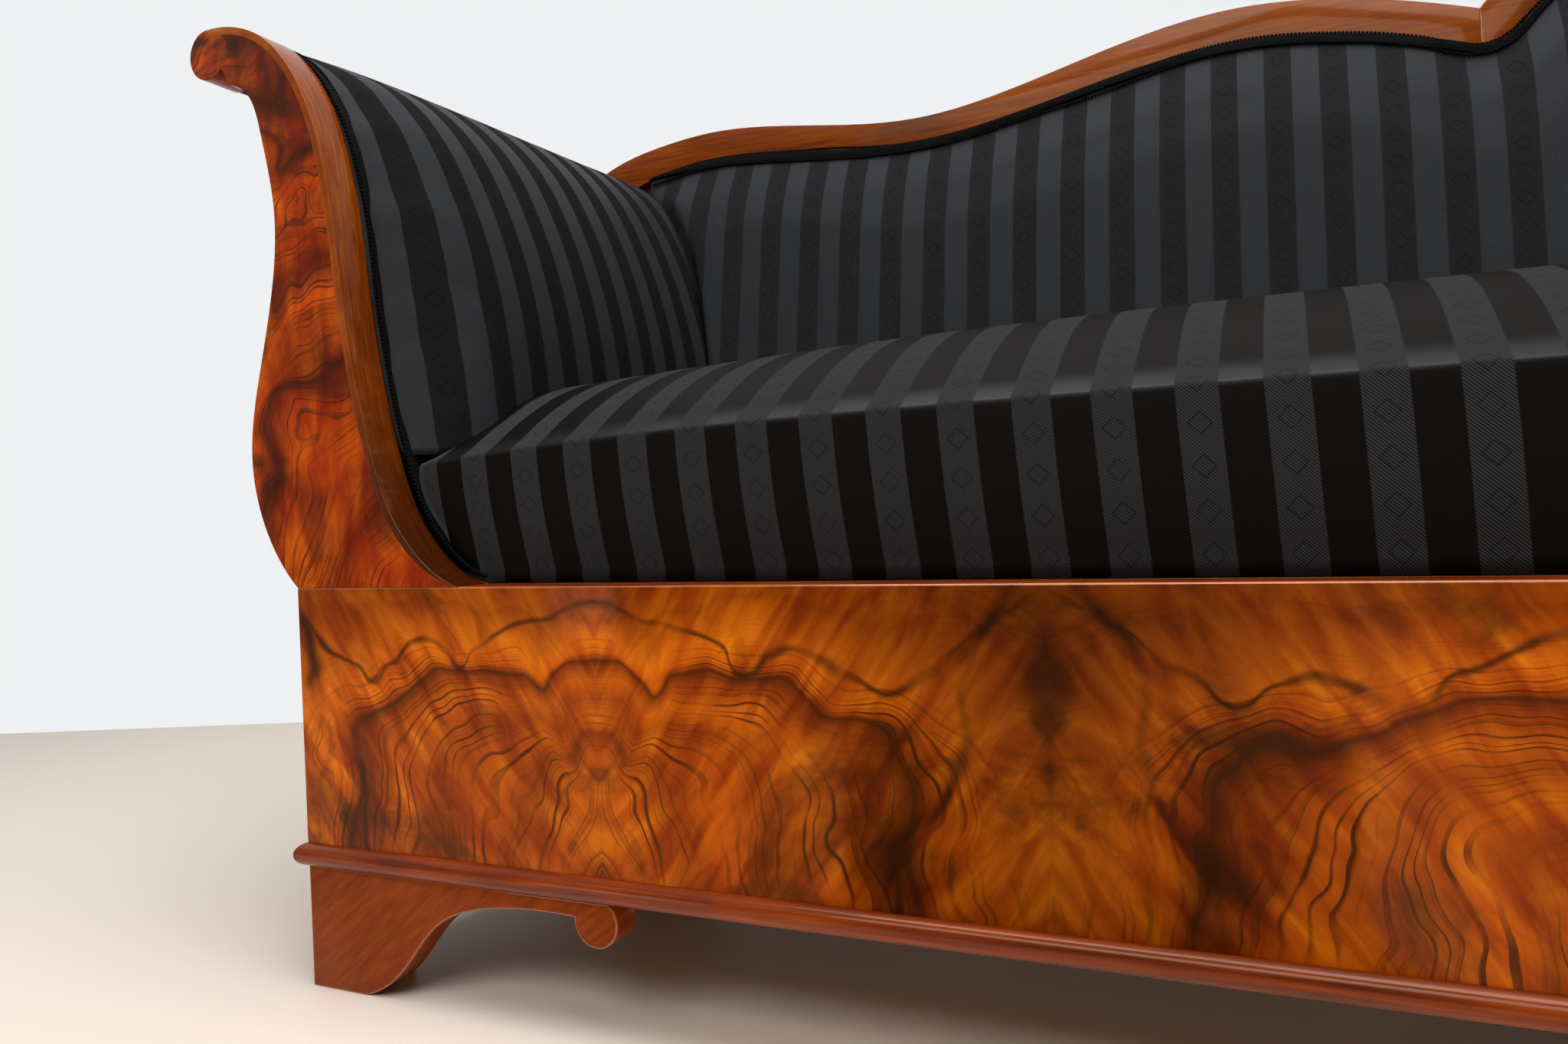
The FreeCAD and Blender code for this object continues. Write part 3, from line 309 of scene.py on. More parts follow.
figure = add(book_walnut, "Math", {0: under.outputs[0], 1: patch.outputs[0]}, operation="MAXIMUM")
figure = add(book_walnut, "Math", {0: figure.outputs[0], 1: streak.outputs[0]}, operation="MAXIMUM")
figure = add(book_walnut, "Math", {0: figure.outputs[0], 1: seam.outputs[0]}, operation="MAXIMUM")
walnut_figure(
    book_walnut, shader, flow.outputs["Value"], leaf.outputs[0], heart=LEAF_RINGS, reach=RING_REACH,
    line_gap=0.0066, calm=0.24, figure=figure.outputs[0],
)


def top_front(a, b):
    """True for the edge along the top of the front, the only arris of the leaves that is rounded, worn and
    given a painted highlight.
    """
    return min(a.z, b.z) > 0.3129 and max(a.y, b.y) < -0.2926


trimmed("front_veneer", "front_leaves", TOP_ARRIS, 3, book_walnut, top_front)


# Sides of the case: a pair of leaves on each side, mirrored at the joint in the middle, of the same
# walnut as the front and polished with it.
SIDE_JOINT = 0.0395
# The side leaves give the eye a plainer, wavy figure mirrored at one joint, under the same gloss
side_walnut, shader, place = finish_of("side_walnut")
axes = add(side_walnut, "SeparateXYZ", {0: place})
fold = add(side_walnut, "Math", {0: axes.outputs[1], 1: SIDE_JOINT}, operation="ADD")
fold = add(side_walnut, "Math", {0: fold.outputs[0]}, operation="ABSOLUTE")
leaf = add(side_walnut, "CombineXYZ", {0: fold.outputs[0], 1: axes.outputs[2], 2: 0.4})
bend = add(side_walnut, "TexNoise", {
    "Vector": leaf.outputs[0], "Scale": 8.0, "Detail": 2.0, "Distortion": 0.2,
})
flow = add(side_walnut, "Math", {
    0: bend.outputs["Fac"], 1: 0.26, 2: fold.outputs[0],
}, operation="MULTIPLY_ADD")
knot = add(side_walnut, "TexNoise", {
    "Vector": leaf.outputs[0], "Scale": 13.0, "Detail": 3.0, "Distortion": 1.2,
})
figure = add(side_walnut, "MapRange", {
    "Value": knot.outputs["Fac"], "From Min": 0.56, "From Max": 0.68,
}, interpolation_type="SMOOTHSTEP")
walnut_figure(
    side_walnut, shader, flow.outputs[0], leaf.outputs[0], heart=LEAF_RINGS, reach=RING_REACH,
    line_gap=0.0095, calm=0.4, figure=figure.outputs[0],
)
for hand in ("left", "right"):
    trimmed(hand + "_side_veneer", hand + "_side_leaves", 0.0, 1, side_walnut)


# Strip and base bead: solid walnut with the grain along the piece, stained redder than it grew. The
# strip is let into the front rail; the half-round bead is glued on and mitred at the front corners.
def plain_walnut(name, across, tones, fibre, coat=0.15, toe=None):
    """Long fibres: quick changes across the grain, slow ones along it. Toe: heights over which the colour
    darkens downwards.
    """
    mat, shader, place = finish_of(name)
    spread = add(mat, "Mapping", {"Vector": place, "Scale": across})
    wander = add(mat, "TexNoise", {"Vector": spread.outputs[0], "Scale": 0.12 / fibre, "Detail": 2.0})
    bent = add(mat, "Mix", {
        0: 0.012, 4: spread.outputs[0], 5: wander.outputs["Color"],
    }, data_type="VECTOR")
    fibres = add(mat, "TexNoise", {
        "Vector": bent.outputs[1], "Scale": 1.0 / fibre, "Detail": 4.0, "Roughness": 0.6,
    })
    cloud = add(mat, "TexNoise", {"Vector": place, "Scale": 7.0, "Detail": 2.0})
    mixed = add(mat, "Math", {0: cloud.outputs["Fac"], 1: 0.5, 2: -0.1}, operation="MULTIPLY_ADD")
    mixed = add(mat, "Math", {
        0: fibres.outputs["Fac"], 1: 0.7, 2: mixed.outputs[0],
    }, operation="MULTIPLY_ADD")
    tone = add(mat, "ValToRGB", {"Fac": mixed.outputs[0]})
    ramp(tone, tones)
    colour = tone.outputs[0]
    if toe:
        height = add(mat, "SeparateXYZ", {0: place})
        # Below the toe heights the colour darkens towards #2c0a03
        darkening = add(mat, "MapRange", {
            "Value": height.outputs[2], "From Min": toe[0], "From Max": toe[1], "To Min": 0.9, "To Max": 0.0,
        }, interpolation_type="SMOOTHSTEP")
        toe_darkened = add(mat, "Mix", {0: darkening.outputs[0], 6: colour, 7: linear("#2c0a03")}, data_type="RGBA")
        colour = toe_darkened.outputs[2]
    french_polish(mat, shader, colour, coat)
    return mat


LIP_TONES = [(0.3, "#461402"), (0.5, "#7b2804"), (0.7, "#a03e07")]
BEAD_TONES = [(0.3, "#421402"), (0.5, "#742804"), (0.7, "#9a3e07")]
# Long-grained walnut gives the eye fine red-brown lines along the piece; the bead shines most
long_walnut = plain_walnut("long_grain_walnut", (0.04, 1.0, 1.0), LIP_TONES, 0.0035)
bead_walnut = plain_walnut("bead_walnut", (0.04, 1.0, 1.0), BEAD_TONES, 0.0035, 0.4)
deep_walnut = plain_walnut("deep_grain_walnut", (1.0, 0.04, 1.0), LIP_TONES, 0.0035)
trimmed("front_rail_cap", "front_ledge", 0.0015, 3, long_walnut)
trimmed("front_bead", "front_base_bead", 0.0, 1, bead_walnut)
for hand in ("left", "right"):
    trimmed(hand + "_side_bead", hand + "_base_bead", 0.0, 1, deep_walnut)


# Bracket feet: sawn from walnut boards with the grain lying slantwise, scrolled at the end, mitred
# at the corners and glued to blocks. Their polish is thinner and browner than the case's.
FOOT_TONES = [(0.25, "#5a2003"), (0.5, "#823205"), (0.78, "#a24608")]
# The feet give the eye slanting fibres, since the map is turned before it is stretched, and little shine
foot_walnut = plain_walnut("slant_grain_walnut", (8.0, 2.5, 1.0), FOOT_TONES, 0.0042, 0.04)
slant = foot_walnut.node_tree.nodes["Mapping"]
slant.vector_type = "TEXTURE"
slant.inputs["Rotation"].default_value = (0.0, math.radians(-38), 0.0)
for hand in ("left", "right"):
    for foot in ("front_bracket", "front_side_bracket", "rear_side_bracket"):
        node = hand + "_" + foot
        trimmed(node, node + "_foot", 0.0012, 3, foot_walnut)


# Arm fronts: boards sawn to an S with a scroll at the top, faced with burr walnut whose lines run
# round the belly, and edged inside with a rounded band of straight walnut.
ARM_TOE = (0.895, -0.2927, 0.30)
BURR_RINGS = [
    (0.00, "#962a04"), (0.10, "#b43a05"), (0.18, "#771803"), (0.24, "#b63f06"), (0.32, "#a33004"),
    (0.37, "#4a0e02"), (0.40, "#b23a05"), (0.48, "#c84b08"), (0.53, "#671402"), (0.56, "#a32f04"),
    (0.66, "#bd4206"), (0.71, "#5c1202"), (0.74, "#af3804"), (0.82, "#410c02"), (0.85, "#9b2c04"),
    (0.93, "#b63c06"), (1.00, "#721a04"),
]
# Burr walnut gives the eye red and black rings round the toe, blotched dark, under a deep gloss
burr_walnut, shader, place = finish_of("burr_walnut")
axes = add(burr_walnut, "SeparateXYZ", {0: place})
fold = add(burr_walnut, "Math", {0: axes.outputs[0]}, operation="ABSOLUTE")
leaf = add(burr_walnut, "CombineXYZ", {0: fold.outputs[0], 1: axes.outputs[1], 2: axes.outputs[2]})
bend = add(burr_walnut, "TexNoise", {
    "Vector": leaf.outputs[0], "Scale": 11.0, "Detail": 2.0, "Roughness": 0.4, "Distortion": 0.5,
})
toe = add(burr_walnut, "VectorMath", {0: leaf.outputs[0], 1: ARM_TOE}, operation="DISTANCE")
loose = add(burr_walnut, "MapRange", {
    "Value": toe.outputs["Value"], "From Min": 0.08, "From Max": 0.3, "To Min": 0.05, "To Max": 0.20,
})
flow = add(burr_walnut, "Math", {0: bend.outputs["Fac"], 1: 0.5}, operation="SUBTRACT")
flow = add(burr_walnut, "Math", {
    0: flow.outputs[0], 1: loose.outputs[0], 2: toe.outputs["Value"],
}, operation="MULTIPLY_ADD")
knot = add(burr_walnut, "Mapping", {
    "Vector": leaf.outputs[0], "Rotation": (0.0, 0.35, 0.0), "Scale": (0.5, 1.0, 1.5),
})
knot = add(burr_walnut, "TexNoise", {
    "Vector": knot.outputs[0], "Scale": 17.0, "Detail": 5.0, "Distortion": 1.1,
})
strokes = add(burr_walnut, "MapRange", {
    "Value": axes.outputs[2], "From Min": 0.58, "From Max": 0.70, "To Min": 0.5, "To Max": 1.0,
})
figure = add(burr_walnut, "MapRange", {
    "Value": knot.outputs["Fac"], "From Min": 0.46, "From Max": 0.62, "To Max": strokes.outputs[0],
}, interpolation_type="SMOOTHSTEP")
walnut_figure(
    burr_walnut, shader, flow.outputs[0], leaf.outputs[0], heart=BURR_RINGS, reach=0.56,
    line_gap=0.0040, calm=0.5, figure=figure.outputs[0],
)
BAND_TONES = [(0.28, "#592003"), (0.5, "#873b06"), (0.72, "#ab5a0d")]
# Band and edge give the eye straight fibres up the S, the band golden above and darker towards its toe
band_walnut = plain_walnut("band_walnut", (0.08, 1.0, 0.08), BAND_TONES, 0.003, toe=(0.33, 0.50))
edge_walnut = plain_walnut("arm_edge_walnut", (0.3, 0.3, 0.05), LIP_TONES, 0.004)
for hand in ("left", "right"):
    trimmed(hand + "_arm_front_veneer", hand + "_arm_face", 0.0, 1, burr_walnut)
    trimmed(hand + "_arm_front", hand + "_arm_board", 0.0, 1, edge_walnut)
    trimmed(hand + "_arm_band", hand + "_arm_edge_band", 0.0022, 3, band_walnut)
    trimmed(hand + "_back_post", hand + "_back_post_board", 0.0012, 2, edge_walnut)


# Crest: two wings and a middle arch, sawn from walnut with the grain along the sofa, the top edge
# eased by hand so that it catches a thin line of light.
CREST_TONES = [(0.3, "#411801"), (0.5, "#682902"), (0.72, "#833c05")]
# The crest gives the eye the darkest, plainest walnut, with a thin bright line on its arris, from its coat
# and from a painted highlight
crest_walnut = plain_walnut("crest_walnut", (0.05, 1.0, 0.8), CREST_TONES, 0.0035)
for node in ("left_crest_wing", "right_crest_wing", "crest_arch"):
    trimmed(node, node + "_board", 0.0022, 3, crest_walnut)


# Seat support: jute webbing over the strips, coil springs on its crossings and hessian over them.
# It is hidden by the seat, and shows only from below.
JUTE_PITCH = 0.003
HESSIAN_PITCH = 0.002
# Jute webbing gives the eye a coarse tan weave without shine
jute, shader, place = finish_of("jute_webbing")
weave = add(jute, "TexChecker", {
    "Vector": place, "Scale": 1.0 / JUTE_PITCH, "Color1": linear("#8c7048"), "Color2": linear("#a88a5c"),
})
jute.node_tree.links.new(weave.outputs[0], shader.inputs["Base Color"])
shader.inputs["Roughness"].default_value = 0.9
wear(["back_webbing", "seat_webbing_across", "seat_webbing_along"], jute)
# Hessian gives the eye a finer and paler weave than the webbing
hessian, shader, place = finish_of("hessian")
weave = add(hessian, "TexChecker", {
    "Vector": place, "Scale": 1.0 / HESSIAN_PITCH, "Color1": linear("#9a7d52"), "Color2": linear("#b59567"),
})
hessian.node_tree.links.new(weave.outputs[0], shader.inputs["Base Color"])
shader.inputs["Roughness"].default_value = 0.92
wear(["spring_canvas"], hessian)
# Coppered wire gives the eye dull brown metal, patchy where the copper has gone
spring_wire, shader, place = finish_of("coppered_spring_wire")
darkening = add(spring_wire, "TexNoise", {"Vector": place, "Scale": 60.0, "Detail": 3.0})
wire_tone = add(spring_wire, "ValToRGB", {"Fac": darkening.outputs["Fac"]})
ramp(wire_tone, [(0.35, "#5a4a40"), (0.65, "#8a7464")])
spring_wire.node_tree.links.new(wire_tone.outputs[0], shader.inputs["Base Color"])
shader.inputs["Metallic"].default_value = 1.0
shader.inputs["Roughness"].default_value = 0.45
wear(["seat_springs"], spring_wire)


# Cover cloth: a black horsehair-type weave with equal stripes of ribbed twill and smooth satin, and
# a row of outlined diamonds on each ribbed stripe. The UV map holds metres on the flat cloth.
REPEAT = 0.04708
DIAMOND = 0.0066
DIAMOND_PITCH = 0.025
TWILL = 0.0022


def striped_cloth(name, satin_tones, rib_tones, rib_sheen=0.0, edge=None):
    """The same weave with base tones given per copy, which paint in the sheen and shade that it shows where
    the copy lies.
    """
    mat = bpy.data.materials.new(name)
    mat.use_nodes = True
    shader = mat.node_tree.nodes["Principled BSDF"]
    metres = add(mat, "UVMap", uv_map="Cloth").outputs[0]
    flat = add(mat, "SeparateXYZ", {0: metres})
    across, along = flat.outputs[0], flat.outputs[1]
    stripe = add(mat, "Math", {0: across, 1: REPEAT}, operation="DIVIDE")
    stripe = add(mat, "Math", {0: stripe.outputs[0], 1: 0.5}, operation="ADD")
    stripe = add(mat, "Math", {0: stripe.outputs[0]}, operation="FRACT")
    off = add(mat, "Math", {0: stripe.outputs[0], 1: 0.5}, operation="SUBTRACT")
    off = add(mat, "Math", {0: off.outputs[0]}, operation="ABSOLUTE")
    ribbed = add(mat, "MapRange", {
        "Value": off.outputs[0], "From Min": 0.242, "From Max": 0.258, "To Min": 1.0, "To Max": 0.0,
    })
    step = add(mat, "Math", {0: along, 1: DIAMOND_PITCH}, operation="DIVIDE")
    step = add(mat, "Math", {0: step.outputs[0]}, operation="FRACT")
    step = add(mat, "Math", {0: step.outputs[0], 1: 0.5}, operation="SUBTRACT")
    step = add(mat, "Math", {0: step.outputs[0]}, operation="ABSOLUTE")
    reach = add(mat, "Math", {0: step.outputs[0], 1: DIAMOND_PITCH}, operation="MULTIPLY")
    reach = add(mat, "Math", {
        0: off.outputs[0], 1: REPEAT, 2: reach.outputs[0],
    }, operation="MULTIPLY_ADD")
    ring = add(mat, "Math", {0: reach.outputs[0], 1: DIAMOND}, operation="SUBTRACT")
    ring = add(mat, "Math", {0: ring.outputs[0]}, operation="ABSOLUTE")
    ring = add(mat, "MapRange", {
        "Value": ring.outputs[0], "From Min": 0.0003, "From Max": 0.0008, "To Min": 0.5, "To Max": 0.0,
    })
    slant = add(mat, "Math", {0: across, 1: along}, operation="ADD")
    slant = add(mat, "Math", {0: slant.outputs[0], 1: 2 * math.pi / TWILL}, operation="MULTIPLY")
    twill = add(mat, "Math", {0: slant.outputs[0]}, operation="SINE")
    drawn = add(mat, "Mapping", {"Vector": metres, "Scale": (1.0, 0.2, 1.0)})
    threads = add(mat, "TexNoise", {"Vector": drawn.outputs[0], "Scale": 900.0, "Detail": 2.0})
    rib_tone = add(mat, "MapRange", {"Value": twill.outputs[0], "From Min": -1.0})
    rib = add(mat, "Mix", {
        0: rib_tone.outputs[0], 6: linear(rib_tones[0]), 7: linear(rib_tones[1]),
    }, data_type="RGBA")
    rib = add(mat, "Mix", {0: ring.outputs[0], 6: rib.outputs[2], 7: linear("#070707")}, data_type="RGBA")
    satin = add(mat, "Mix", {
        0: threads.outputs["Fac"], 6: linear(satin_tones[0]), 7: linear(satin_tones[1]),
    }, data_type="RGBA")
    both = add(mat, "Mix", {0: ribbed.outputs[0], 6: satin.outputs[2], 7: rib.outputs[2]}, data_type="RGBA")
    mat.node_tree.links.new(both.outputs[2], shader.inputs["Base Color"])
    gloss = add(mat, "MapRange", {"Value": ribbed.outputs[0], "To Min": 0.5, "To Max": 0.9})
    mat.node_tree.links.new(gloss.outputs[0], shader.inputs["Roughness"])
    relief = add(mat, "Math", {0: twill.outputs[0], 1: ribbed.outputs[0]}, operation="MULTIPLY")
    relief = add(mat, "Math", {
        0: threads.outputs["Fac"], 1: 0.6, 2: relief.outputs[0],
    }, operation="MULTIPLY_ADD")
    bump = add(mat, "Bump", {"Strength": 0.5, "Distance": 0.0003, "Height": relief.outputs[0]})
    mat.node_tree.links.new(bump.outputs[0], shader.inputs["Normal"])
    shader.inputs["Specular IOR Level"].default_value = 0.03
    sheen = add(mat, "Math", {0: ribbed.outputs[0], 1: rib_sheen}, operation="MULTIPLY")
    mat.node_tree.links.new(sheen.outputs[0], shader.inputs["Sheen Weight"])
    shader.inputs["Sheen Roughness"].default_value = 0.4
    if edge:
        start = add(mat, "MapRange", {
            "Value": along, "From Min": edge - 0.003, "From Max": edge + 0.004,
        }, interpolation_type="SMOOTHSTEP")
        shine = add(mat, "MapRange", {
            "Value": along, "From Min": edge + 0.004, "From Max": edge + 0.03,
            "To Min": start.outputs[0], "To Max": 0.0,
        }, interpolation_type="SMOOTHSTEP")
        smooth = add(mat, "MapRange", {"Value": ribbed.outputs[0], "To Min": 0.35, "To Max": 0.0})
        shine = add(mat, "Math", {0: shine.outputs[0], 1: smooth.outputs[0]}, operation="MULTIPLY")
        mat.node_tree.links.new(shine.outputs[0], shader.inputs["Coat Weight"])
        shader.inputs["Coat Roughness"].default_value = 0.45
    return mat


# On the arms the satin gets lighter grey base tones, a painted sheen for the light it catches, between
# nearly black ribbed stripes
arm_cloth = striped_cloth("striped_cloth_arms", ("#2a2b2e", "#353739"), ("#141415", "#232325"))


# Arm pads: horsehair stuffing over the rails and round the pole, covered with one width of cloth
# whose stripes follow the S. The cloth is tacked behind the arm front and swells from there.
def flowing(points, count):
    """Evenly spaced places on a smooth line through a few points."""
    path = bpy.data.curves.new("path", "CURVE")
    path.dimensions = "3D"
    path.resolution_u = 24
    spline = path.splines.new("BEZIER")
    spline.bezier_points.add(len(points) - 1)
    for knot, point in zip(spline.bezier_points, points):
        knot.co = tuple(point) + (0.0,) * (3 - len(point))
        knot.handle_left_type = "AUTO"
        knot.handle_right_type = "AUTO"
    holder = bpy.data.objects.new("path", path)
    mesh = bpy.data.meshes.new_from_object(holder)
    places = [v.co.copy() for v in mesh.vertices]
    bpy.data.objects.remove(holder)
    bpy.data.curves.remove(path)
    bpy.data.meshes.remove(mesh)
    lengths = [0.0]
    for a, b in zip(places[:-1], places[1:]):
        lengths.append(lengths[-1] + (b - a).length)
    spaced = []
    i = 0
    for k in range(count):
        want = lengths[-1] * k / (count - 1)
        while i < len(lengths) - 2 and lengths[i + 1] < want:
            i += 1
        share = (want - lengths[i]) / max(lengths[i + 1] - lengths[i], 1e-9)
        spaced.append(places[i].lerp(places[i + 1], share))
    return spaced


def cover(name, columns, rows, shape):
    """A cloth skin: a grid bent by shape(column, row) into place, closed round and at its ends."""
    bm = bmesh.new()
    bmesh.ops.create_grid(bm, x_segments=columns, y_segments=rows, size=0.5)
    uv = bm.loops.layers.uv.new("Cloth")
    held = bm.verts.layers.deform.verify()
    for face in bm.faces:
        for loop in face.loops:
            s = loop.vert.co.x + 0.5
            t = loop.vert.co.y + 0.5
            loop[uv].uv = shape(s, t)[1]
    for vert in bm.verts:
        where, _, grip = shape(vert.co.x + 0.5, vert.co.y + 0.5)
        vert.co = where
        vert[held][0] = grip
    bmesh.ops.remove_doubles(bm, verts=bm.verts, dist=SAME_PLACE)
    edges = [e for e in bm.edges if len(e.link_faces) == 1]
    bmesh.ops.holes_fill(bm, edges=edges, sides=0)
    bmesh.ops.recalc_face_normals(bm, faces=bm.faces)
    mesh = bpy.data.meshes.new(name)
    bm.to_mesh(mesh)
    bm.free()
    mesh.shade_smooth()
    piece = bpy.data.objects.new(name, mesh)
    piece.vertex_groups.new(name="tacked")
    bpy.context.scene.collection.objects.link(piece)
    return piece


SETTLING = 16


def stuffed(piece, pressure, cap):
    """Lets the cloth swell over its stuffing, held where it is tacked, by at most cap metres."""
    scene = bpy.context.scene
    before = [v.co.copy() for v in piece.data.vertices]
    cloth = piece.modifiers.new("stuffing", "CLOTH")
    cloth.settings.use_pressure = True
    cloth.settings.uniform_pressure_force = pressure
    cloth.settings.vertex_group_mass = "tacked"
    cloth.settings.effector_weights.gravity = 0.0
    cloth.settings.tension_stiffness = 25.0
    cloth.settings.compression_stiffness = 25.0
    cloth.settings.bending_stiffness = 4.0
    cloth.settings.quality = 5
    cloth.point_cache.frame_start = 1
    cloth.point_cache.frame_end = SETTLING
    for number in range(1, SETTLING + 1):
        scene.frame_set(number)
    shaped = piece.evaluated_get(bpy.context.evaluated_depsgraph_get())
    after = [v.co.copy() for v in shaped.data.vertices]
    piece.modifiers.remove(cloth)
    scene.frame_set(1)
    for vert, a, b in zip(piece.data.vertices, before, after):
        move = b - a
        if move.length > cap:
            move = move * (cap / move.length)
        vert.co = a + move


def eased(low, high, value):
    """Rises smoothly from nought at low to one at high."""
    x = min(max((value - low) / (high - low), 0.0), 1.0)
    return x * x * (3 - 2 * x)


CASE_SIDE = 1.04
LIP = 0.313
FACE = -0.29272
PAD_START = -0.2613
SWELL_RUN = 0.075
TACK_STRIP = 0.004
TOP_DROP = 0.009
REAR_RISE = 0.018
REAR_TUCK = 0.0112
STRIPE_START = 0.0634
PUCKER = 0.0005
TACK_GAP = 0.043
BACK_FOOT = 0.16629
RAKE = math.radians(9.5)
LOW_PROFILE = [
    (-0.0750, 0.4120), (-0.0900, 0.4180), (-0.0960, 0.4320), (-0.0900, 0.4462), (-0.0760, 0.4530),
    (-0.0552, 0.4534), (-0.0163, 0.4385), (0.0187, 0.4014), (0.0499, 0.3097), (0.0630, 0.2030),
    (0.0839, 0.1008),
]
FULL_PROFILE = [
    (-0.0750, 0.4120), (-0.0900, 0.4180), (-0.0960, 0.4320), (-0.0900, 0.4470), (-0.0760, 0.4545),
    (-0.0545, 0.4559), (-0.0127, 0.4436), (0.0344, 0.4094), (0.0864, 0.3178), (0.1143, 0.2113),
    (0.1267, 0.1000),
]
INNER_LINE = [
    (-0.072, 0.446), (-0.055, 0.444), (-0.020, 0.431), (0.012, 0.398), (0.044, 0.309), (0.057, 0.203),
    (0.078, 0.100),
]
PROFILE_STEPS = 72
INNER_STEPS = 24
low_line = flowing(LOW_PROFILE, PROFILE_STEPS + 1)
full_line = flowing(FULL_PROFILE, PROFILE_STEPS + 1)
full_length = sum((b - a).length for a, b in zip(full_line[:-1], full_line[1:]))
inner_line = flowing(INNER_LINE, INNER_STEPS + 1)[::-1]


def back_plane(height, depth):
    """The raked plane of the back: how far back it lies at a height, depth behind the show wood."""
    return BACK_FOOT + (height - LIP) * math.tan(RAKE) + depth / math.cos(RAKE)


def swelling(y):
    """How full the stuffing is at a depth: nothing at the tacks, all of it after SWELL_RUN."""
    run = min(max((y - PAD_START - TACK_STRIP) / SWELL_RUN, 0.0), 1.0)
    return math.sin(0.5 * math.pi * run) ** 0.8


def sagging(inward, height):
    """How much of TOP_DROP acts: none low down or out on the pole, all along the pad's top."""
    return eased(0.26, 0.43, height) * eased(-0.075, -0.03, inward)


def arm_shape(s, t):
    """Column s runs from the arm front to the back; row t runs round the pad's section."""
    outer_rows = PROFILE_STEPS / (PROFILE_STEPS + INNER_STEPS)
    y_run = eased(0.0, 1.0, s) * 0.25 + s * 0.75
    if t <= outer_rows:
        k = t / outer_rows * PROFILE_STEPS
        i = min(int(k), PROFILE_STEPS - 1)
        low = low_line[i].lerp(low_line[i + 1], k - i)
        full = full_line[i].lerp(full_line[i + 1], k - i)
        grip = 1.0 if k < 6 or k > PROFILE_STEPS - 4 else 0.0
        distance = full_length * k / PROFILE_STEPS
    else:
        k = (t - outer_rows) / (1 - outer_rows) * INNER_STEPS
        i = min(int(k), INNER_STEPS - 1)
        low = inner_line[i].lerp(inner_line[i + 1], k - i)
        if k > INNER_STEPS - 1:
            low = low.lerp(low_line[0], k - INNER_STEPS + 1)
        full = low
        grip = 1.0
        distance = full_length
    reach = back_plane(LIP + low.y, REAR_TUCK)
    y = PAD_START + (reach - PAD_START) * y_run
    place = low.lerp(full, swelling(y))
    place.y += (REAR_RISE * s - TOP_DROP) * sagging(low.x, low.y)
    turn = 2 * math.pi * distance / TACK_GAP
    waves = math.sin(turn) + math.sin(turn / 1.7)
    place.x += PUCKER * waves * math.exp(-((y - PAD_START - 0.02) / 0.03) ** 2)
    if y < PAD_START + 0.010 or s > 0.985:
        grip = 1.0
    return Vector((-CASE_SIDE + place.x, y, LIP + place.y)), (y - FACE - STRIPE_START, distance), grip


left_arm_pad = cover("left_arm_cushion", 64, PROFILE_STEPS + INNER_STEPS, arm_shape)
stuffed(left_arm_pad, 4.0, 0.005)
right_arm_pad = bpy.data.objects.new("right_arm_cushion", left_arm_pad.data.copy())
bpy.context.scene.collection.objects.link(right_arm_pad)
bm = bmesh.new()
bm.from_mesh(right_arm_pad.data)
bmesh.ops.scale(bm, vec=(-1, 1, 1), verts=bm.verts)
bmesh.ops.reverse_faces(bm, faces=bm.faces)
bm.to_mesh(right_arm_pad.data)
bm.free()
for piece, node in ((left_arm_pad, "left_arm_pad"), (right_arm_pad, "right_arm_pad")):
    piece.data.materials.append(arm_cloth)
    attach(piece, "root")
    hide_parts(node)


# Back pad: a thin stuffed panel on webbing, tacked under the crest and tucked behind the seat. Its
# upper edge follows the crest, and the cloth rises from the tacks to a flat middle.
CREST_LINE = [
    (-1.023, 0.459), (-0.942, 0.469), (-0.812, 0.4592), (-0.684, 0.4462), (-0.53, 0.466),
    (-0.3724, 0.491), (-0.2682, 0.478), (-0.2161, 0.463), (-0.164, 0.4435), (-0.146, 0.4480),
    (-0.128, 0.4640), (-0.1055, 0.4871), (-0.06, 0.5141), (0.0, 0.5255),
]
crest_edge = flowing(CREST_LINE, 400)
pad_inside = [(p.x, p.y) for p in full_line[PROFILE_STEPS // 5:]]
PAD_REACH = 0.128
CREST_GAP = 0.0008
SKIN = 0.0002
BACK_THICK = 0.0092
BACK_FRONT = 0.8
BACK_SWELL = 0.019
BACK_LOW = 0.108
BACK_HALF = 1.0222


def along_line(line, value, key, give):
    """Reads a line of places at a value of one coordinate, straight between its points."""
    for a, b in zip(line[:-1], line[1:]):
        if (a[key] - value) * (b[key] - value) <= 0 and a[key] != b[key]:
            return a[give] + (b[give] - a[give]) * (value - a[key]) / (b[key] - a[key])
    return line[-1][give]


def raked(x, up, out):
    """A place on the back: up along its rake, and out towards the sitter."""
    y = BACK_FOOT + up * math.sin(RAKE) - out * math.cos(RAKE)
    return Vector((x, y, LIP + up * math.cos(RAKE) + out * math.sin(RAKE)))


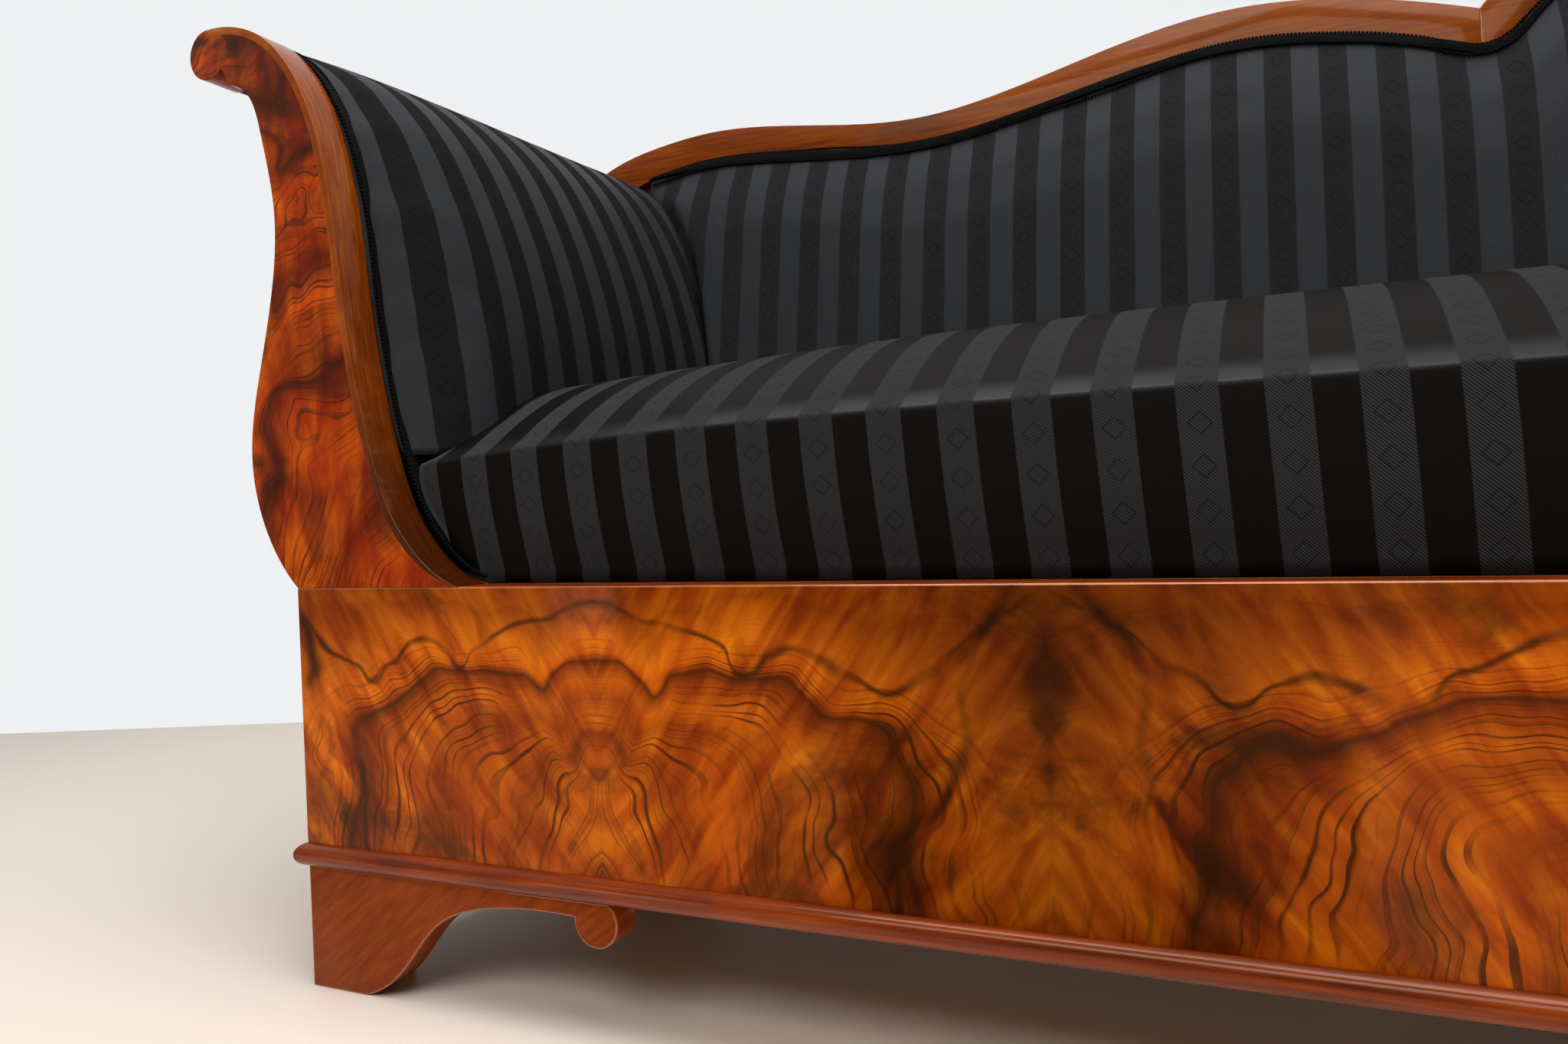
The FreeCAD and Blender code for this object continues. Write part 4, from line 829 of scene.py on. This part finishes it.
def back_shape(s, t):
    """Column s runs along the sofa; row t goes up the front of the pad and down its rear."""
    x = (2 * s - 1) * BACK_HALF
    top = along_line(crest_edge, -abs(x), 0, 1) - CREST_GAP
    inward = CASE_SIDE - abs(x)
    beside_arm = inward < PAD_REACH
    low = BACK_LOW
    if beside_arm:
        low = max(low, along_line(pad_inside, inward, 0, 1) / math.cos(RAKE) - 0.002)
    grip = 0.0
    if t <= BACK_FRONT:
        k = t / BACK_FRONT
        height = low + (top - low) * k
        from_top = top - height
        side_gap = (height - low) if beside_arm else 1.0
        depth = BACK_SWELL * eased(0.010, 0.060, from_top) * (0.25 + 0.75 * eased(0.0, 0.05, side_gap))
        depth = depth + SKIN
        if from_top < 0.012 or k < 0.03:
            grip = 1.0
    else:
        k = (t - BACK_FRONT) / (1 - BACK_FRONT)
        height = top - (top - low) * k
        depth = -BACK_THICK if 0.02 < k < 0.98 else SKIN
        grip = 1.0
        if t > 0.999:
            height = low
            depth = SKIN + BACK_SWELL * eased(0.010, 0.060, top - low) * (0.25 if beside_arm else 1.0)
    if s < 0.003 or s > 0.997:
        grip = 1.0
    return raked(x, height, depth), (x, height), grip


back_pad = cover("back_cushion", 210, 50, back_shape)
stuffed(back_pad, 3.0, 0.004)
# On the back the stripes get two closer tones of charcoal: painted shade, since the back lies away from the
# light
back_cloth = striped_cloth("striped_cloth_back", ("#26272a", "#313335"), ("#19191b", "#2a2a2c"))
back_pad.data.materials.append(back_cloth)
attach(back_pad, "root")
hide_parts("back_pad")


# Seat: springs, hessian and a stitched hair pad under one tight cover. The front is upright and ends
# in a crisp stitched edge; from there the seat rises to a crown and falls a little to the back.
SEAT_FACE = FACE + 0.038
CREASE = 0.112
CROWN = 0.186
STRIPE_LEAN = 0.021
SEAT_FOOT = 0.0018
EDGE_DROP = 0.018
CROWN_DROP = 0.0175
# Depth from the seat's face and height over the ledge, from the hem up to the crown and to the back
SEAT_PROFILE = [
    (-0.0074, 0.0008), (-0.0060, 0.0035), (-0.0050, 0.030), (-0.0042, 0.060), (-0.0025, 0.090),
    (-0.0008, 0.1085), (0.0006, 0.1112), (0.0034, 0.1128), (0.030, 0.1290), (0.065, 0.1490),
    (0.101, 0.1670), (0.150, 0.1800), (0.2145, CROWN), (0.300, 0.1850), (0.380, 0.1810), (0.418, 0.1760),
]
SEAT_SECTION = [(SEAT_FACE + depth, rise) for depth, rise in SEAT_PROFILE]
seat_front = flowing(SEAT_SECTION[:6], 12)
seat_edge = flowing(SEAT_SECTION[5:8], 6)
seat_top = flowing(SEAT_SECTION[7:], 40)
section = seat_front + seat_edge[1:] + seat_top[1:]
covered = [0.0]
for a, b in zip(section[:-1], section[1:]):
    covered.append(covered[-1] + (b - a).length)
shown = len(section) - 1
rear_top = section[-1]
REST = [
    (rear_top.x + 0.003, 0.150), (rear_top.x - 0.004, 0.110), (rear_top.x - 0.010, 0.060),
    (rear_top.x - 0.014, SEAT_FOOT), (rear_top.x - 0.10, SEAT_FOOT), (rear_top.x - 0.20, SEAT_FOOT),
    (rear_top.x - 0.30, SEAT_FOOT), (SEAT_FACE + 0.05, SEAT_FOOT),
]
rows = shown + len(REST) + 1
section = section + [Vector((a, b, 0.0)) for a, b in REST] + [section[0]]
TOE_LINE = [
    (0.0868, 0.168), (0.0872, 0.105), (0.0925, 0.080), (0.1046, 0.0565), (0.128, 0.027), (0.1445, 0.0135),
    (0.1615, 0.0),
]
TOE_TOP = TOE_LINE[0][1]
ARM_CURVE = 0.09


def seat_shape(s, t):
    """Column s runs along the sofa, row t round the seat's section from the front upwards."""
    k = t * rows
    i = min(int(k + 1e-6), rows - 1)
    at = section[i].lerp(section[i + 1], k - i)
    side = 2 * s - 1
    rise = at.y
    spread = abs(side)
    edge_drop = EDGE_DROP * spread ** 5 * eased(0.02, 0.11, rise)
    top_drop = CROWN_DROP * spread ** 4
    rise = rise - edge_drop - (top_drop - edge_drop) * eased(0.113, 0.150, rise)
    front_in = along_line(TOE_LINE, min(max(rise, 0.0), TOE_TOP), 1, 0)
    pad_in = along_line(pad_inside, max(rise, 0.1005), 1, 0)
    inward = front_in + (pad_in - front_in) * swelling(at.x) * eased(0.0, ARM_CURVE, rise)
    if rise < ARM_CURVE:
        inward = max(inward, front_in)
    x = side * (CASE_SIDE - inward - 0.0006)
    grip = 1.0 if i < 2 or i >= shown - 1 or spread > 0.992 else (0.8 if 12 <= i <= 17 else 0.0)
    flat = covered[min(i, shown)] + (k - i) * (covered[min(i + 1, shown)] - covered[min(i, shown)])
    lean = STRIPE_LEAN * (1 - min(at.y / CREASE, 1.0)) if i < shown else 0.0
    return Vector((x, at.x, LIP + rise)), (x + side * lean, flat), grip


seat = cover("seat_cushion", 200, rows, seat_shape)
stuffed(seat, 4.0, 0.006)
EDGE = covered[len(seat_front)]
# On the seat the satin gets a near-black base and the ribs a lighter grey than on the arms: painted shade
# and sheen; the coat makes the satin shine along the edge
seat_cloth = striped_cloth("striped_cloth_seat", ("#0b0908", "#120f0c"), ("#1a1a1a", "#363637"), 0.1, EDGE)
seat.data.materials.append(seat_cloth)
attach(seat, "root")
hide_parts("seat_pad")


# Braid: a black gimp glued over the tacks, a flat band with a knotted edge on both sides. It runs
# along the arm fronts down to the seat rail, and under the crest.
# Black gimp gives the eye a dull, fuzzy black line with small bumps along both edges
black_gimp, shader, place = finish_of("black_gimp")
fuzz = add(black_gimp, "TexNoise", {"Vector": place, "Scale": 900.0, "Detail": 2.0})
gimp_tone = add(black_gimp, "ValToRGB", {"Fac": fuzz.outputs["Fac"]})
ramp(gimp_tone, [(0.35, "#040404"), (0.7, "#121111")])
black_gimp.node_tree.links.new(gimp_tone.outputs[0], shader.inputs["Base Color"])
bump = add(black_gimp, "Bump", {"Strength": 0.7, "Distance": 0.0006, "Height": fuzz.outputs["Fac"]})
black_gimp.node_tree.links.new(bump.outputs[0], shader.inputs["Normal"])
shader.inputs["Roughness"].default_value = 0.95
shader.inputs["Specular IOR Level"].default_value = 0.08
KNOT = 0.0017
KNOT_GAP = 0.0034
GIMP_WIDE = 0.0094
GIMP_OUT = 0.0022


def braid(name, node, path, across):
    """A trimmed copy of the CAD strip with a row of knots along each edge of it."""
    strip = trimmed(node, name, 0.0008, 2, black_gimp)
    if "arm" in node:
        for vert in strip.data.vertices:
            inward = CASE_SIDE - abs(vert.co.x)
            vert.co.z -= TOP_DROP * sagging(inward, vert.co.z - LIP)
    bm = bmesh.new()
    travelled = 0.0
    wanted = 0.0
    for a, b in zip(path[:-1], path[1:]):
        step = (b - a).length
        while wanted <= travelled + step:
            at = a.lerp(b, (wanted - travelled) / step)
            for edge in (0.0, 1.0):
                made = bmesh.ops.create_icosphere(bm, subdivisions=1, radius=KNOT)
                bmesh.ops.translate(bm, vec=at + across * edge, verts=made["verts"])
            wanted += KNOT_GAP
        travelled += step
    mesh = bpy.data.meshes.new(name + "_knots")
    bm.to_mesh(mesh)
    bm.free()
    mesh.shade_smooth()
    mesh.materials.append(black_gimp)
    knots = bpy.data.objects.new(name + "_knots", mesh)
    bpy.context.scene.collection.objects.link(knots)
    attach(knots, "root")


GIMP_LINE = [
    (-0.0545, 0.4563), (-0.0150, 0.4415), (0.0208, 0.4030), (0.0524, 0.3104), (0.0655, 0.2035),
    (0.0864, 0.1016), (0.1035, 0.0570), (0.1270, 0.0262), (0.1440, 0.0124), (0.1605, 0.0058),
]
gimp_line = flowing(GIMP_LINE, 160)
for hand, sign in (("left", -1), ("right", 1)):
    path = []
    for p in gimp_line:
        height = LIP + p.y - TOP_DROP * sagging(p.x, p.y)
        path.append(Vector((sign * (CASE_SIDE - p.x), PAD_START - 0.0006, height)))
    braid(hand + "_arm_braid", hand + "_arm_gimp", path, Vector((0.0, GIMP_WIDE, 0.0)))
half_edge = [p for p in crest_edge if p.x > -1.02]
path = [raked(p.x, p.y + SKIN, GIMP_OUT) for p in half_edge]
path += [raked(-p.x, p.y + SKIN, GIMP_OUT) for p in half_edge[-2::-1]]
down_rake = Vector((0.0, -math.sin(RAKE), -math.cos(RAKE)))
braid("crest_braid", "back_gimp", path, GIMP_WIDE * down_rake)


# Outside cloth: the same striped cover stretched over the outsides of the arms and over the back,
# and tacked round its edges.
def lining(name, node, across, along):
    """A copy of the CAD cloth with its stripes laid on."""
    piece = trimmed(node, name, 0.0006, 1, arm_cloth)
    layer = piece.data.uv_layers.new(name="Cloth")
    for loop in piece.data.loops:
        at = piece.data.vertices[loop.vertex_index].co
        layer.data[loop.index].uv = (at[across], at[along])


for hand in ("left", "right"):
    lining(hand + "_arm_outside", hand + "_arm_lining", 1, 2)
lining("back_outside", "back_lining", 0, 2)


# Stage: a pale floor before a light wall, broad soft lamps, and the camera where the photographer
# stood, close to the left end of the sofa.
AWAY = (-0.424, 0.905, 0.0)
WALL_AT = 1.375
WALL_LIGHT = 0.885
WALL_TINT = (0.97, 0.985, 1.0, 1.0)


def direct(owner):
    """One for rays from the camera, and from its mirrored and seen-through views, else nought."""
    path = add(owner, "LightPath")
    seen = add(owner, "Math", {
        0: path.outputs["Is Camera Ray"], 1: path.outputs["Is Glossy Ray"],
    }, operation="MAXIMUM")
    seen = add(owner, "Math", {
        0: seen.outputs[0], 1: path.outputs["Is Transmission Ray"],
    }, operation="MAXIMUM")
    return seen.outputs[0]


bm = bmesh.new()
bmesh.ops.create_grid(bm, x_segments=1, y_segments=1, size=9.0)
floor_mesh = bpy.data.meshes.new("floor")
bm.to_mesh(floor_mesh)
bm.free()
floor = bpy.data.objects.new("floor", floor_mesh)
bpy.context.scene.collection.objects.link(floor)
# The floor gives the eye a pale, slightly warm plane that ends in the even white of the wall
pale_floor, shader, place = finish_of("pale_floor")
shader.inputs["Base Color"].default_value = linear("#f2e5d8")
shader.inputs["Roughness"].default_value = 0.5
shader.inputs["Specular IOR Level"].default_value = 0.2
beyond = add(pale_floor, "VectorMath", {0: place, 1: AWAY}, operation="DOT_PRODUCT")
beyond = add(pale_floor, "Math", {0: beyond.outputs["Value"], 1: WALL_AT}, operation="GREATER_THAN")
seen = add(pale_floor, "Math", {0: direct(pale_floor), 1: beyond.outputs[0]}, operation="MULTIPLY")
wall = add(pale_floor, "Emission", {"Color": WALL_TINT, "Strength": WALL_LIGHT})
either = add(pale_floor, "MixShader", {0: seen.outputs[0], 1: shader.outputs[0], 2: wall.outputs[0]})
pale_floor.node_tree.links.new(either.outputs[0], pale_floor.node_tree.nodes["Material Output"].inputs[0])
floor.data.materials.append(pale_floor)

world = bpy.data.worlds.new("studio")
bpy.context.scene.world = world
world.use_nodes = True
sky = world.node_tree.nodes["Background"]
toward = add(world, "TexCoord")
facing = add(world, "VectorMath", {
    0: toward.outputs["Generated"], 1: (AWAY[0], AWAY[1], 0.25),
}, operation="DOT_PRODUCT")
level = add(world, "MapRange", {
    "Value": facing.outputs["Value"], "From Min": -0.35, "From Max": 0.3,
    "To Min": 0.24, "To Max": WALL_LIGHT,
})
strength = add(world, "Mix", {0: direct(world), 2: 0.08, 3: level.outputs[0]})
world.node_tree.links.new(strength.outputs[0], sky.inputs["Strength"])
sky.inputs["Color"].default_value = WALL_TINT


def lamp(name, place, aim, size, power):
    """A softbox at a place, turned to its aim."""
    light = bpy.data.lights.new(name, "AREA")
    light.shape = "RECTANGLE"
    light.size, light.size_y = size
    light.energy = power
    holder = bpy.data.objects.new(name, light)
    holder.location = place
    holder.rotation_euler = (Vector(aim) - Vector(place)).to_track_quat("-Z", "Y").to_euler()
    bpy.context.scene.collection.objects.link(holder)


lamp("overhead", (-0.2, -0.5, 2.9), (0.0, 0.0, 0.3), (3.0, 1.6), 94.0)
lamp("front_softbox", (-0.7, -2.7, 2.6), (-0.3, 0.0, 0.35), (2.4, 1.2), 46.0)
lamp("low_softbox", (-1.65, -1.75, 0.32), (-0.75, -0.3, 0.26), (0.36, 0.42), 1.2)

STOOD = (-0.3288, -0.9303, 0.3595)
YAW = math.radians(24.489)
PITCH = math.radians(-0.57)
ROLL = math.radians(2.104)
ahead = Vector((-math.sin(YAW) * math.cos(PITCH), math.cos(YAW) * math.cos(PITCH), math.sin(PITCH)))
right = Vector((math.cos(YAW), math.sin(YAW), 0.0))
down = ahead.cross(right)
turned_right = right * math.cos(ROLL) + down * math.sin(ROLL)
turned_down = down * math.cos(ROLL) - right * math.sin(ROLL)
lens = bpy.data.cameras.new("photographer")
lens.sensor_width = 36.0
lens.lens = 25.63
camera = bpy.data.objects.new("photographer", lens)
pose = camera.matrix_world.copy()
for i in range(3):
    pose[i][0] = turned_right[i]
    pose[i][1] = -turned_down[i]
    pose[i][2] = -ahead[i]
    pose[i][3] = STOOD[i]
camera.matrix_world = pose
bpy.context.scene.collection.objects.link(camera)
bpy.context.scene.camera = camera
bpy.context.scene.view_settings.view_transform = "Standard"
